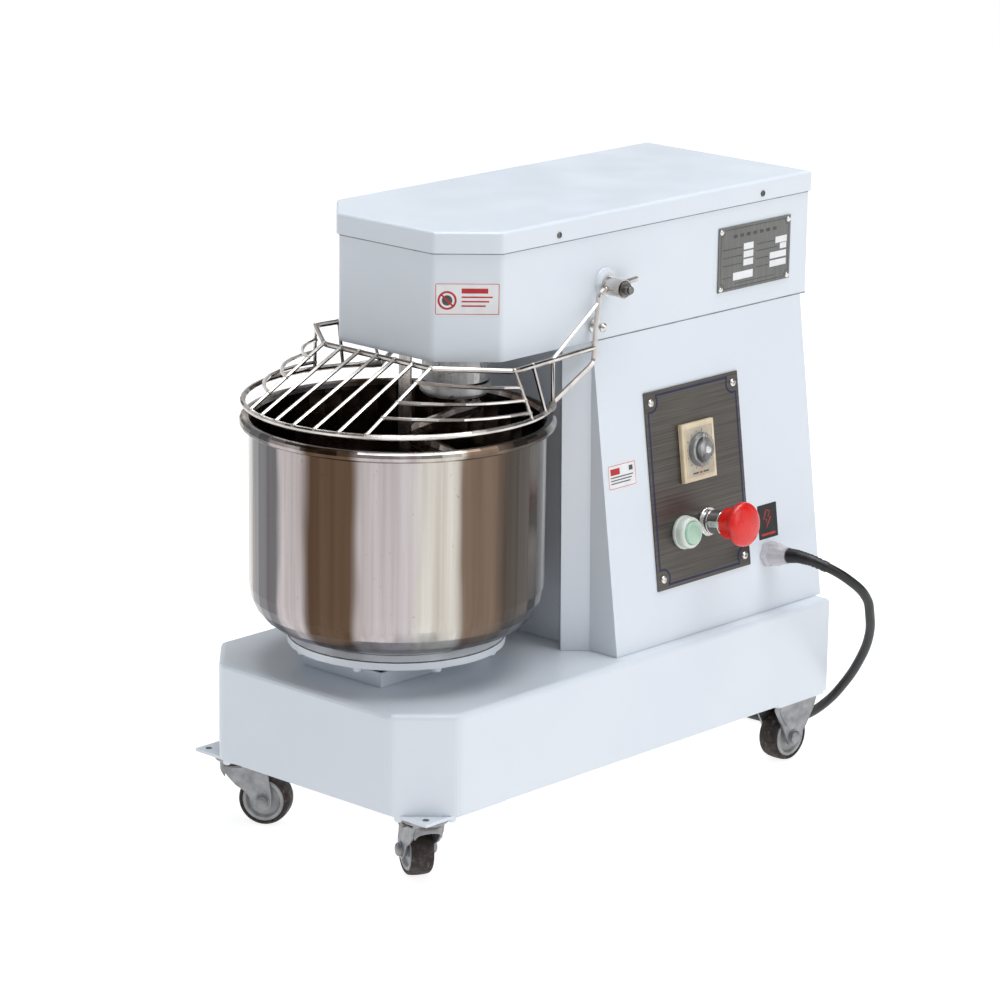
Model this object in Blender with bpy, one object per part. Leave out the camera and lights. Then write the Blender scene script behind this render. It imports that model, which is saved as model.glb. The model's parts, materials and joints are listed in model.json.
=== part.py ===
"""Spiral dough mixer, a ten-litre bench model on casters, with its drive inside.

Sizes below are in millimetres in the machine's own frame: X across from the centre plane, with the
control panel on the +X side, Y from the head's front face to the back, Z up from the floor. The whole
machine hangs on one empty, which puts the middle of its footprint at the world's origin.
"""

import math

import bmesh
import bpy
from mathutils import Matrix, Vector

MM = 0.001
GAP = 0.3
FOOTPRINT_CENTRE = (14.5, 169.3)

# Head and lid: a sheet-metal box with its two front corners cut off.
HEAD_HALF, HEAD_LENGTH, CHAMFER = 100.0, 461.0, 43.0
HEAD_Z, HEAD_TOP_Z = 447.6, 558.6
SHEET = 2.0
LID_OVERHANG, LID_SHEET, LID_SKIRT_Z, LID_TOP_Z = 1.8, 1.5, 544.0, 563.0
BEND = 3.0

# Base: the same outline, wider, open underneath.
BASE_HALF, BASE_FRONT, BASE_REAR = 150.5, -100.0, 451.0
BASE_Z, BASE_TOP_Z = 68.3, 160.3
BASE_BEND = 5.0
PLATE_Z, PLATE_THICK = 65.2, 2.8

# Column: its sides lean in from the base to the head.
COLUMN_FOOT_HALF, COLUMN_HEAD_HALF = 137.25, 100.0
COLUMN_FRONT, COLUMN_REAR = 161.5, 453.6
COVER_FOOT_HALF, COVER_HEAD_HALF, RIB = 104.0, 99.5, 18.5
SIDE_TILT = math.atan2(COLUMN_FOOT_HALF - COLUMN_HEAD_HALF, HEAD_Z - BASE_TOP_Z)

# Bowl, on the axis (0, BOWL_Y), and what carries it.
BOWL_Y, BOWL_RADIUS, BOWL_CORNER, BOWL_SHEET = 17.1, 132.0, 40.0, 2.0
BOWL_FLOOR_Z, RIM_Z, RIM_BEAD = 195.3, 383.0, 5.0
TURNTABLE_RADIUS, TURNTABLE_Z = 98.0, 181.0
COLLAR_HALF, COLLAR_FRONT, COLLAR_REAR, COLLAR_TOP_Z = 49.0, -52.0, 86.0, 174.0
SHAFT = 12.0

# Spiral, on the axis (0, SPINDLE_Y), and the breaker bar in the middle of the bowl.
SPINDLE_Y, HOUSING_RADIUS, HOUSING_Z = 90.0, 30.0, 409.0
SHIELD_RADIUS, SHIELD_Z, SHIELD_TOP_Z = 31.5, 396.0, 407.5
SPIRAL_RADIUS, SPIRAL_BAR, SPIRAL_PITCH = 41.0, 6.5, 119.0
SPIRAL_LOW_Z, SPIRAL_HIGH_Z = 222.0, 388.0
BREAKER_Y, BREAKER_RADIUS, BREAKER_Z = 26.0, 6.0, 210.0

# Guard: a wire apron that hangs from two pivots on the head's sides.
PIVOT_Y, PIVOT_Z = 176.0, 496.2
RING_RADIUS, RING_Z, RING_END_Y, ARM_X = 137.0, 401.0, 104.0, 109.0
FRAME_Z, FRAME_FRONT, FRAME_FRONT_X, FRAME_SIDE_X, FRAME_SIDE_Y = 444.5, -9.8, 65.6, 122.6, 35.3
FRAME_REAR_Y = 154.4
WIRE, BAR = 2.5, 1.75
FRONT_BARS = 7
SIDE_BARS = ((35.3, 46.0), (62.0, 73.0), (91.6, 103.0))
BOSS_RADIUS, BOSS_RISE, HUB_RADIUS, HUB_END = 13.0, 3.5, 8.0, 124.0

# Drive: belt to the spindle, chain back to the countershaft, chain down to the bowl.
COUNTERSHAFT_Y, MOTOR_Y, MOTOR_RADIUS = 240.0, 400.0, 48.0
BELT_Z, SPINDLE_PULLEY, MOTOR_PULLEY = 512.0, 84.0, 19.0
HEAD_CHAIN_Z, SPINDLE_SPROCKET, UPPER_SPROCKET = 471.5, 22.0, 66.0
BASE_CHAIN_Z, LOWER_SPROCKET, BOWL_SPROCKET = 111.5, 20.0, 62.0

# Casters.
WHEEL_RADIUS, WHEEL_WIDTH, AXLE = 24.0, 21.0, 3.0
SWIVEL_X, SWIVEL_Y, TRAIL, SWIVEL_TURN = 118.5, -66.5, 27.0, -29.0
REAR_X, REAR_Y = 121.0, 423.0

# Controls, placed on the +X side of the column by (distance back, distance up the slope).
PANEL_U, PANEL_V, PANEL_WIDTH, PANEL_HEIGHT, PANEL_THICK = 288.0, 140.5, 131.0, 183.0, 1.2
TIMER_U, TIMER_V = 287.5, 168.5
START_U, START_V = 262.5, 97.0
ESTOP_U, ESTOP_V = 297.0, 100.5
GLAND_U, GLAND_V, GLAND_LENGTH = 381.0, 53.5, 25.0

# Mains lead: hand-laid route from the gland to the coil, then a coil, then the plug.
CORD = 4.5
CORD_ROUTE = [
    (156.0, 381.0, 216.7), (166.0, 381.5, 217.9), (180.0, 384.0, 216.5), (195.5, 391.5, 210.5),
    (207.5, 405.5, 199.0), (212.0, 427.0, 179.0), (206.5, 441.5, 157.0), (196.0, 455.0, 131.0),
    (178.5, 464.5, 101.5), (156.0, 470.5, 71.5), (129.0, 476.0, 44.0), (98.0, 481.5, 22.5),
    (65.0, 487.0, 10.0), (32.0, 491.5, 5.6), (0.0, 495.0, 4.8), (-30.0, 497.2, 5.0), (-60.3, 497.7, 5.4),
]
COIL_X, COIL_Y, COIL_INNER, COIL_OUTER, COIL_HEIGHT = -95.0, 556.3, 43.9, 63.9, 19.6
PLUG_X, PLUG_Y, PLUG_Z, PLUG_RADIUS = -153.6, 592.2, 16.5, 16.0


# ---------------------------------------------------------------- materials

def material(name, colour, roughness, metallic=0.0):
    """A Principled material of one plain colour."""
    made = bpy.data.materials.new(name)
    made.use_nodes = True
    shader = made.node_tree.nodes["Principled BSDF"]
    shader.inputs["Base Color"].default_value = (*colour, 1.0)
    shader.inputs["Roughness"].default_value = roughness
    shader.inputs["Metallic"].default_value = metallic
    return made


def make_materials():
    return {
        "white": material("white_enamel", (0.80, 0.83, 0.87), 0.35),
        "polished": material("polished_steel", (0.62, 0.58, 0.55), 0.15, 1.0),
        "wire": material("stainless_wire", (0.66, 0.63, 0.60), 0.22, 1.0),
        "panel": material("panel_steel", (0.22, 0.20, 0.18), 0.45, 1.0),
        "plate": material("nameplate_steel", (0.42, 0.44, 0.44), 0.4, 1.0),
        "zinc": material("zinc_plate", (0.55, 0.56, 0.57), 0.4, 1.0),
        "iron": material("cast_iron", (0.20, 0.20, 0.21), 0.6, 1.0),
        "motor": material("motor_paint", (0.16, 0.22, 0.27), 0.5),
        "belt": material("belt_rubber", (0.03, 0.03, 0.03), 0.8),
        "tread": material("caster_tread", (0.07, 0.05, 0.04), 0.6),
        "cream": material("cream_plastic", (0.80, 0.68, 0.46), 0.4),
        "clear": material("clear_knob", (0.75, 0.76, 0.76), 0.1),
        "mint": material("mint_button", (0.50, 0.68, 0.54), 0.4),
        "bezel": material("bezel_plastic", (0.70, 0.75, 0.71), 0.35),
        "red": material("red_mushroom", (0.75, 0.02, 0.01), 0.3),
        "chrome": material("chrome_barrel", (0.75, 0.75, 0.76), 0.12, 1.0),
        "nylon": material("grey_nylon", (0.60, 0.58, 0.60), 0.5),
        "cable": material("black_cable", (0.01, 0.01, 0.01), 0.45),
    }


# ---------------------------------------------------------------- mesh tools

def vert(bm, point):
    return bm.verts.new(Vector(point) * MM)


def lofted(rings):
    """A closed solid through rings that hold the same number of points, with flat ends."""
    bm = bmesh.new()
    loops = [[vert(bm, point) for point in ring] for ring in rings]
    for low, high in zip(loops, loops[1:]):
        for i in range(len(low)):
            j = (i + 1) % len(low)
            bm.faces.new((low[i], low[j], high[j], high[i]))
    bm.faces.new(reversed(loops[0]))
    bm.faces.new(loops[-1])
    return bm


def prism(outline, z0, z1):
    return lofted([[(x, y, z) for x, y in outline] for z in (z0, z1)])


def block(x0, x1, y0, y1, z0, z1):
    return prism([(x0, y0), (x1, y0), (x1, y1), (x0, y1)], z0, z1)


def turned(profile, segments=32, centre=(0.0, 0.0)):
    """A closed profile of (radius, z) points turned about the vertical line through centre."""
    bm = bmesh.new()
    rings = []
    for radius, z in profile:
        if radius < 1e-6:
            rings.append([vert(bm, (*centre, z))])
            continue
        angles = [2 * math.pi * k / segments for k in range(segments)]
        rings.append([
            vert(bm, (centre[0] + radius * math.cos(a), centre[1] + radius * math.sin(a), z))
            for a in angles
        ])
    for one, two in zip(rings, rings[1:] + rings[:1]):
        for k in range(segments):
            m = (k + 1) % segments
            corners = [one[k % len(one)], one[m % len(one)], two[m % len(two)], two[k % len(two)]]
            face = list(dict.fromkeys(corners))
            if len(face) > 2:
                bm.faces.new(face)
    return bm


def disc(radius, z0, z1, bore=0.0, segments=32, centre=(0.0, 0.0)):
    return turned([(bore, z0), (radius, z0), (radius, z1), (bore, z1)], segments, centre)


def arc(cx, cy, radius, start, end, steps):
    """Points on an arc, angles in degrees."""
    turn = [math.radians(start + (end - start) * k / steps) for k in range(steps + 1)]
    return [(cx + radius * math.cos(a), cy + radius * math.sin(a)) for a in turn]


def rounded(points, radius, steps=3):
    """An open path with an arc-like bend of about this radius at each inner corner."""
    path = [Vector(points[0])]
    for before, corner, after in zip(points, points[1:], points[2:]):
        corner = Vector(corner)
        back, ahead = Vector(before) - corner, Vector(after) - corner
        reach = min(radius, back.length * 0.45, ahead.length * 0.45)
        start, end = corner + back.normalized() * reach, corner + ahead.normalized() * reach
        for k in range(steps + 1):
            t = k / steps
            path.append(start * (1 - t) ** 2 + corner * 2 * t * (1 - t) + end * t ** 2)
    path.append(Vector(points[-1]))
    return path


def tube(points, radius, sides=8, closed=False):
    """A round bar swept along points."""
    points = [Vector(p) for p in points]
    count = len(points)
    normal = None
    rings = []
    for i, here in enumerate(points):
        before = points[i - 1] if closed or i else here
        after = points[(i + 1) % count] if closed or i < count - 1 else here
        tangent = (after - before).normalized()
        if normal is None:
            normal = tangent.orthogonal()
        normal = (normal - tangent * normal.dot(tangent)).normalized()
        side = tangent.cross(normal)
        angles = [2 * math.pi * (k + 0.5) / sides for k in range(sides)]
        rings.append([here + normal * math.cos(a) * radius + side * math.sin(a) * radius for a in angles])
    return lofted(rings)


def band(y1, r1, y2, r2, thick, z0, z1, steps=14):
    """A belt or chain: a flat loop round two wheels on the centre plane, its chords clear of them."""
    tilt = math.degrees(math.asin((r1 - r2) / (y2 - y1)))

    def around(y, radius, start, end):
        clear = math.cos(math.radians((end - start) / steps / 2))
        return arc(0, y, radius / clear, start, end, steps)

    def loop(offset):
        return (around(y2, r2 + offset, tilt, 180 - tilt)
                + around(y1, r1 + offset, 180 - tilt, 360 + tilt))

    bm = bmesh.new()
    corners = [[vert(bm, (x, y, z)) for x, y in loop(offset)]
               for offset, z in ((GAP, z0), (GAP + thick, z0), (GAP + thick, z1), (GAP, z1))]
    for one, two in zip(corners, corners[1:] + corners[:1]):
        for i in range(len(one)):
            j = (i + 1) % len(one)
            bm.faces.new((one[i], one[j], two[j], two[i]))
    return bm


def bevel_edges(bm, width, picked, segments=3):
    """Rounds the edges for which picked(edge) holds."""
    edges = [edge for edge in bm.edges if picked(edge)]
    bmesh.ops.bevel(bm, geom=edges, offset=width * MM, segments=segments, profile=0.5,
                    affect="EDGES", clamp_overlap=True)
    return bm


def top_and_upright(bm, top_z, upright_min_y):
    """Picks the top rim's front and sides, and the upright edges of the bends."""
    def picked(edge):
        a, b = (v.co / MM for v in edge.verts)
        on_top = abs(a.z - top_z) < 0.01 and abs(b.z - top_z) < 0.01
        upright = abs(a.x - b.x) < 0.01 and abs(a.y - b.y) < 0.01
        return on_top or (upright and max(a.y, b.y) < upright_min_y)
    return picked


# ---------------------------------------------------------------- objects

class Machine:
    """Places pieces on the machine's empty and on the empties of its joints."""

    def __init__(self):
        self.materials = make_materials()
        self.frame = self.empty("machine", (-FOOTPRINT_CENTRE[0], -FOOTPRINT_CENTRE[1], 0), None)
        self.places = {self.frame: Vector((0, 0, 0))}

    def empty(self, name, location, parent):
        made = bpy.data.objects.new(name, None)
        bpy.context.collection.objects.link(made)
        made.location = Vector(location) * MM
        made.parent = parent
        return made

    def axis(self, name, location, parent=None):
        """An empty on a joint's axis; pieces hung on it keep the machine's coordinates."""
        parent = parent or self.frame
        made = self.empty(name, Vector(location) - self.places[parent], parent)
        self.places[made] = Vector(location)
        return made

    def piece(self, name, bm, finish, parent=None, smooth=True, place=None):
        parent = parent or self.frame
        bmesh.ops.recalc_face_normals(bm, faces=bm.faces)
        mesh = bpy.data.meshes.new(name)
        bm.to_mesh(mesh)
        bm.free()
        mesh.materials.append(self.materials[finish])
        if smooth:
            mesh.shade_smooth()
            mesh.set_sharp_from_angle(angle=math.radians(35))
        made = bpy.data.objects.new(name, mesh)
        bpy.context.collection.objects.link(made)
        made.parent = parent
        made.matrix_parent_inverse = Matrix.Translation(-self.places[parent] * MM)
        if place is not None:
            made.matrix_basis = place
        return made

    def helper(self, owner, bm, place=None):
        """A hidden solid for a Boolean."""
        made = self.piece(owner.name + "_tool", bm, "iron", owner.parent, False, place)
        made.hide_render = True
        made.display_type = "WIRE"
        return made

    def combine(self, owner, bm, operation, place=None):
        modifier = owner.modifiers.new(operation.lower(), "BOOLEAN")
        modifier.object = self.helper(owner, bm, place)
        modifier.operation = operation
        modifier.solver = "EXACT"
        return owner

    def cut(self, owner, bm, place=None):
        return self.combine(owner, bm, "DIFFERENCE", place)

    def join(self, owner, bm, place=None):
        return self.combine(owner, bm, "UNION", place)


def front_cut_outline(half, front, rear, chamfer):
    """The plan of the head and the base: a rectangle with its front corners cut off."""
    return [(-half + chamfer, front), (half - chamfer, front), (half, front + chamfer),
            (half, rear), (-half, rear), (-half, front + chamfer)]


def inset_outline(half, front, rear, chamfer, inset):
    """The same plan moved inward by inset on every side."""
    shorter = chamfer - inset * (2 - math.sqrt(2))
    return front_cut_outline(half - inset, front + inset, rear - inset, shorter)


def on_side(u, v, w=0.0):
    """World placement, in the machine's frame, for a piece made flat: local Z stands out of the +X face."""
    sin, cos = math.sin(SIDE_TILT), math.cos(SIDE_TILT)
    place = Matrix(((0, -sin, cos, 0), (1, 0, 0, 0), (0, cos, sin, 0), (0, 0, 0, 1)))
    spot = Vector((COLUMN_FOOT_HALF - sin * v + cos * w, u, BASE_TOP_Z + cos * v + sin * w))
    return Matrix.Translation(spot * MM) @ place


def across(x, y, z, sign=1):
    """Placement for a piece turned about its local Z, which then points to +X or -X."""
    return Matrix.Translation(Vector((x, y, z)) * MM) @ Matrix.Rotation(sign * math.pi / 2, 4, "Y")


def column_half(z):
    return COLUMN_FOOT_HALF - (z - BASE_TOP_Z) * math.tan(SIDE_TILT)


def cover_half(z):
    share = (z - BASE_TOP_Z) / (HEAD_Z - BASE_TOP_Z)
    return COVER_FOOT_HALF + (COVER_HEAD_HALF - COVER_FOOT_HALF) * share


# ---------------------------------------------------------------- casings

def make_base(m):
    body = prism(front_cut_outline(BASE_HALF, BASE_FRONT, BASE_REAR, CHAMFER), BASE_Z, BASE_TOP_Z)
    bevel_edges(body, BASE_BEND, top_and_upright(body, BASE_TOP_Z, BASE_REAR - 1))
    base = m.piece("base_shell", body, "white")
    inner = inset_outline(BASE_HALF, BASE_FRONT, BASE_REAR, CHAMFER, SHEET)
    m.cut(base, prism(inner, BASE_Z - 10, BASE_TOP_Z - SHEET))
    inside = COLLAR_HALF - SHEET
    m.cut(base, block(-inside, inside, COLLAR_FRONT + SHEET, COLLAR_REAR - SHEET, 150, 170))
    m.cut(base, disc(16, 150, 170, centre=(0, COUNTERSHAFT_Y), segments=24))

    collar = m.piece("pedestal_collar", block(-COLLAR_HALF, COLLAR_HALF, COLLAR_FRONT, COLLAR_REAR,
                                              BASE_TOP_Z + GAP, COLLAR_TOP_Z), "white")
    m.cut(collar, block(-inside, inside, COLLAR_FRONT + SHEET, COLLAR_REAR - SHEET, 150, 190))

    top = PLATE_Z + PLATE_THICK
    m.piece("front_caster_plate", block(-145.5, 145.5, -93.5, 8, PLATE_Z, top), "white", smooth=False)
    m.piece("rear_caster_plate", block(-149.5, 149.5, 381, 448, PLATE_Z, top), "white", smooth=False)


def column_rings(inset, z0, z1):
    rings = []
    for z in (z0, z1):
        half = column_half(z) - inset
        front, rear = COLUMN_FRONT + inset, COLUMN_REAR - inset
        rings.append([(-half, front, z), (half, front, z), (half, rear, z), (-half, rear, z)])
    return rings


def make_column(m):
    low, high = BASE_TOP_Z + GAP, HEAD_Z - GAP
    column = m.piece("column_shell", lofted(column_rings(0, low, high)), "white")
    m.cut(column, lofted(column_rings(SHEET, low - 10, high + 10)))

    front = []
    for z in (low - 10, high + 10):
        half = cover_half(z)
        front.append([(-half, 150, z), (half, 150, z), (half, 170, z), (-half, 170, z)])
    m.cut(column, lofted(front))
    m.cut(column, block(-75, 75, COLUMN_REAR - 10, COLUMN_REAR + 10, low + 24, high - 24))

    folded = []
    for z in (low, high):
        half = cover_half(z) - GAP
        steps = [(half, 0), (half - RIB, -RIB), (half - 2 * RIB, 0)]
        line = [(-x, COLUMN_FRONT + dy) for x, dy in steps]
        line += [(x, COLUMN_FRONT + dy) for x, dy in reversed(steps)]
        folded.append([(x, y, z) for x, y in line] + [(x, y + SHEET, z) for x, y in reversed(line)])
    m.piece("column_front_cover", lofted(folded), "white", smooth=False)

    rear = []
    for y in (COLUMN_REAR + GAP, COLUMN_REAR + GAP + 1.5):
        rear.append([(-column_half(high - 8) + 10, y, high - 8), (column_half(high - 8) - 10, y, high - 8),
                     (column_half(low + 8) - 10, y, low + 8), (-column_half(low + 8) + 10, y, low + 8)])
    m.piece("column_rear_cover", lofted(rear), "white", smooth=False)


def make_head(m):
    body = prism(front_cut_outline(HEAD_HALF, 0, HEAD_LENGTH, CHAMFER), HEAD_Z, HEAD_TOP_Z)
    bevel_edges(body, BEND, top_and_upright(body, 0, HEAD_LENGTH - 1))
    head = m.piece("head_shell", body, "white")
    inner = inset_outline(HEAD_HALF, 0, HEAD_LENGTH, CHAMFER, SHEET)
    m.cut(head, prism(inner, HEAD_Z + SHEET, HEAD_TOP_Z + 10))
    m.cut(head, disc(16, 440, 460, centre=(0, SPINDLE_Y), segments=24))
    m.cut(head, block(-45, 45, 222, 430, 440, 460))

    outer = (HEAD_HALF + LID_OVERHANG, -LID_OVERHANG, HEAD_LENGTH + LID_OVERHANG, CHAMFER)
    cap = prism(front_cut_outline(*outer), LID_SKIRT_Z, LID_TOP_Z)
    bevel_edges(cap, BEND, top_and_upright(cap, LID_TOP_Z, HEAD_LENGTH - 1))
    lid = m.piece("head_lid", cap, "white")
    m.cut(lid, prism(inset_outline(*outer, LID_SHEET), LID_SKIRT_Z - 10, LID_TOP_Z - LID_SHEET))

    m.piece("nameplate", block(HEAD_HALF + GAP, HEAD_HALF + 1.3, 332, 435, 465, 525), "plate", smooth=False)


# ---------------------------------------------------------------- bowl and spiral

def make_bowl(m):
    axis = m.axis("bowl_axis", (0, BOWL_Y, 0))
    centre = (0, BOWL_Y)
    corner_z, bead_r = BOWL_FLOOR_Z + BOWL_CORNER, BOWL_RADIUS + 3.6
    corner_r, inner = BOWL_RADIUS - BOWL_CORNER, BOWL_RADIUS - BOWL_SHEET
    profile = [(0, BOWL_FLOOR_Z)] + arc(corner_r, corner_z, BOWL_CORNER, -90, 0, 6)
    profile += arc(bead_r, RIM_Z, RIM_BEAD, -135, 135, 8)
    profile += [(inner, RIM_Z)]
    profile += arc(corner_r, corner_z, BOWL_CORNER - BOWL_SHEET, 0, -90, 6)
    profile += [(0, BOWL_FLOOR_Z + BOWL_SHEET)]
    m.piece("bowl_shell", turned(profile, 48, centre), "polished", axis)

    step = TURNTABLE_Z + 6.5
    table = [(0, TURNTABLE_Z), (TURNTABLE_RADIUS, TURNTABLE_Z), (TURNTABLE_RADIUS, step),
             (TURNTABLE_RADIUS - 1.5, step), (TURNTABLE_RADIUS - 1.5, step + 1),
             (TURNTABLE_RADIUS, step + 1), (TURNTABLE_RADIUS - 4, BOWL_FLOOR_Z - 2), (0, BOWL_FLOOR_Z - GAP)]
    m.piece("turntable", turned(table, 40, centre), "white", axis)
    m.piece("bowl_shaft", disc(SHAFT, 102, TURNTABLE_Z - GAP, centre=centre, segments=20), "iron", axis)
    bore = SHAFT + GAP
    sprocket = [(bore, 108), (24, 108), (24, 112), (BOWL_SPROCKET, 112), (BOWL_SPROCKET, 118), (bore, 118)]
    m.piece("bowl_sprocket", turned(sprocket, 32, centre), "iron", axis)

    bearing = m.piece("bowl_bearing", block(-60, 60, -64, 98, 151, BASE_TOP_Z - SHEET - GAP), "iron")
    m.join(bearing, disc(26, 132, 172, centre=centre, segments=24))
    m.cut(bearing, disc(bore, 120, 180, centre=centre, segments=24))


def spiral_path():
    """The forged bar: out of the shield, once and a half round on the way down, in again at its foot."""
    points = [Vector((0, SPINDLE_Y, SHIELD_Z + 6)), Vector((0, SPINDLE_Y, SHIELD_Z - 2))]
    steps = 46
    top_turn, foot_turn = 50.0, 110.0
    drop = SPIRAL_HIGH_Z - SPIRAL_LOW_Z
    sweep = 360 * drop / SPIRAL_PITCH
    for k in range(steps + 1):
        turn = (top_turn + sweep + foot_turn) * k / steps
        radius, z = SPIRAL_RADIUS, SPIRAL_HIGH_Z - (turn - top_turn) / 360 * SPIRAL_PITCH
        if turn < top_turn:
            share = turn / top_turn
            radius = SPIRAL_RADIUS * (0.28 + 0.72 * math.sin(share * math.pi / 2))
            z = SPIRAL_HIGH_Z + (1 - share) * 2
        elif turn > top_turn + sweep:
            share = (turn - top_turn - sweep) / foot_turn
            radius = SPIRAL_RADIUS * (1 - 0.7 * share ** 1.5)
            z = SPIRAL_LOW_Z - 10 * math.sin(share * math.pi / 2)
        angle = math.radians(13 - turn)
        points.append(Vector((radius * math.cos(angle), SPINDLE_Y + radius * math.sin(angle), z)))
    return points


def make_spiral(m):
    axis = m.axis("spindle_axis", (0, SPINDLE_Y, 0))
    centre = (0, SPINDLE_Y)
    shield = [(0, SHIELD_Z), (SHIELD_RADIUS - 3, SHIELD_Z), (SHIELD_RADIUS, SHIELD_Z + 3),
              (SHIELD_RADIUS, SHIELD_TOP_Z), (0, SHIELD_TOP_Z)]
    tool = m.piece("spiral_tool", turned(shield, 28, centre), "polished", axis)
    m.join(tool, tube(spiral_path(), SPIRAL_BAR))
    m.piece("spindle_shaft", disc(SHAFT, SHIELD_TOP_Z + GAP, 540, centre=centre, segments=20), "iron", axis)

    bore = SHAFT + GAP
    grooved = [(bore, BELT_Z - 6), (24, BELT_Z - 6), (24, BELT_Z), (SPINDLE_PULLEY + 2, BELT_Z),
               (SPINDLE_PULLEY - 6, BELT_Z + 6), (SPINDLE_PULLEY - 6, BELT_Z + 12),
               (SPINDLE_PULLEY + 2, BELT_Z + 18), (bore, BELT_Z + 18)]
    m.piece("spindle_pulley", turned(grooved, 32, centre), "iron", axis)
    m.piece("spindle_sprocket", disc(SPINDLE_SPROCKET, HEAD_CHAIN_Z, HEAD_CHAIN_Z + 7, bore, 24, centre),
            "iron", axis)

    housing = [(bore, HOUSING_Z), (HOUSING_RADIUS, HOUSING_Z), (HOUSING_RADIUS, HEAD_Z - 12),
               (HOUSING_RADIUS + 8, HEAD_Z - 12), (HOUSING_RADIUS + 8, HEAD_Z - GAP), (bore, HEAD_Z - GAP)]
    m.piece("spindle_housing", turned(housing, 28, centre), "polished")
    bar = [(0, BREAKER_Y, HEAD_Z - GAP), (0, BREAKER_Y, BREAKER_Z), (0, BREAKER_Y - 14, BREAKER_Z - 4)]
    m.piece("breaker_bar", tube(rounded(bar, 8), BREAKER_RADIUS, 12), "polished")


# ---------------------------------------------------------------- guard

def ring_point(x, z=RING_Z):
    """A point of the guard's ring in front of the bowl axis."""
    return (x, BOWL_Y - math.sqrt(RING_RADIUS ** 2 - x ** 2), z)


def between(a, b, share):
    return Vector(a).lerp(Vector(b), share)


def bulged(a, b, steps=6):
    """Points from a to b on an arc about as round as the ring, bulging away from the bowl's axis."""
    chord = b - a
    reach = math.hypot(chord.x, chord.y) / 2
    rise = RING_RADIUS - math.sqrt(RING_RADIUS ** 2 - reach ** 2)
    outward = Vector((chord.y, -chord.x, 0)).normalized()
    if outward.dot((a + b) / 2 - Vector((0, BOWL_Y, 0))) < 0:
        outward.negate()
    shares = [k / steps for k in range(steps + 1)]
    return [a + chord * t + outward * rise * (1 - (2 * t - 1) ** 2) for t in shares]


def frame_x(y):
    """The frame's half width at y, behind its side corners."""
    share = (y - FRAME_SIDE_Y) / (FRAME_REAR_Y - FRAME_SIDE_Y)
    return FRAME_SIDE_X + (ARM_X - FRAME_SIDE_X) * share


def ring_x(y):
    return math.sqrt(RING_RADIUS ** 2 - (y - BOWL_Y) ** 2)


def guard_wires():
    """(points, radius) of each wire of the guard."""
    start = math.degrees(math.asin((RING_END_Y - BOWL_Y) / RING_RADIUS))
    ring = [(x, y, RING_Z) for x, y in arc(0, BOWL_Y, RING_RADIUS, start, -180 - start, 40)]
    wires = [(ring, WIRE)]

    frame = [(ARM_X, FRAME_REAR_Y, FRAME_Z), (FRAME_SIDE_X, FRAME_SIDE_Y, FRAME_Z),
             (FRAME_FRONT_X, FRAME_FRONT, FRAME_Z)]
    frame += [(-x, y, z) for x, y, z in reversed(frame)]
    wires.append((rounded(frame, 6), WIRE))

    top, low = FRAME_Z + 1.0, RING_Z + 1.5
    front_bars = []
    for i in range(FRONT_BARS):
        x = FRAME_FRONT_X * (1 - 2 * i / (FRONT_BARS - 1))
        front_bars.append([(x, FRAME_FRONT, top), ring_point(x * 1.02 + 8, low)])
    wires += [(bar, BAR) for bar in front_bars]

    for side, corner in ((1, front_bars[0]), (-1, front_bars[-1])):
        arm = [(ARM_X, 209, 498.7), (ARM_X, 165.5, 495.2), (ARM_X, 158.8, 492.5), (ARM_X, 158.1, 485),
               (ARM_X, 155.7, 463.2), (ARM_X, 153.6, 432.2), (ARM_X, 148.7, 428.4),
               (ring_x(RING_END_Y) - 0.5, RING_END_Y - 2, RING_Z)]
        wires.append((rounded([(side * x, y, z) for x, y, z in arm], 4), WIRE))
        side_bars = [[(side * frame_x(y_top), y_top, top), (side * ring_x(y_low), y_low, low)]
                     for y_top, y_low in SIDE_BARS]
        side_bars[-1].insert(0, (side * ARM_X, 157.4, 484))
        wires += [(bar, BAR) for bar in side_bars]
        for on_corner, on_side_bar in ((0.22, 0.36), (0.52, 0.62), (0.75, 0.88)):
            ends = between(*corner, on_corner), between(*side_bars[0], on_side_bar)
            wires.append((bulged(*ends), BAR))
    return wires


def make_guard(m):
    axis = m.axis("guard_axis", (0, PIVOT_Y, PIVOT_Z))
    wires = guard_wires()
    grille = m.piece("guard_grille", tube(*wires[0]), "wire", axis)
    for points, radius in wires[1:]:
        m.join(grille, tube(points, radius, 8 if radius == WIRE else 6))

    for name, side in (("right", 1), ("left", -1)):
        hub = m.piece(f"guard_hub_{name}", disc(HUB_RADIUS, 0, HUB_END - 104.8, segments=20), "wire", axis,
                      place=across(side * 104.8, PIVOT_Y, PIVOT_Z, side))
        passage = [(side * ARM_X, y, 495.8 + (y - 173.4) * 2.9 / 35.6) for y in (160, 215)]
        m.cut(hub, tube(passage, WIRE + GAP, 12))
        place = across(side * (HUB_END + GAP), PIVOT_Y, PIVOT_Z, side)
        bolt = m.piece(f"guard_pivot_bolt_{name}", disc(7, 0, 1.5, segments=20), "zinc", axis, place=place)
        m.join(bolt, disc(4.6, 1, 6, segments=6), place)
        dome = [(0, 0), (BOSS_RADIUS, 0), (BOSS_RADIUS - 1, 2), (BOSS_RADIUS - 4, 4.2), (0, 4.2)]
        m.piece(f"guard_boss_{name}", turned(dome, 24), "white",
                place=across(side * (HEAD_HALF + GAP), PIVOT_Y, PIVOT_Z + BOSS_RISE, side))
        pin = [(0, 0), (7, 0), (7, 1.5), (3, 1.5), (3, 8), (4.2, 10), (4.2, 11.5), (2, 14), (0, 14)]
        m.piece(f"guard_stop_{name}", turned(pin, 16), "zinc",
                place=across(side * (HEAD_HALF + GAP), 163.0, 461.5, side))


# ---------------------------------------------------------------- drive

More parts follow.
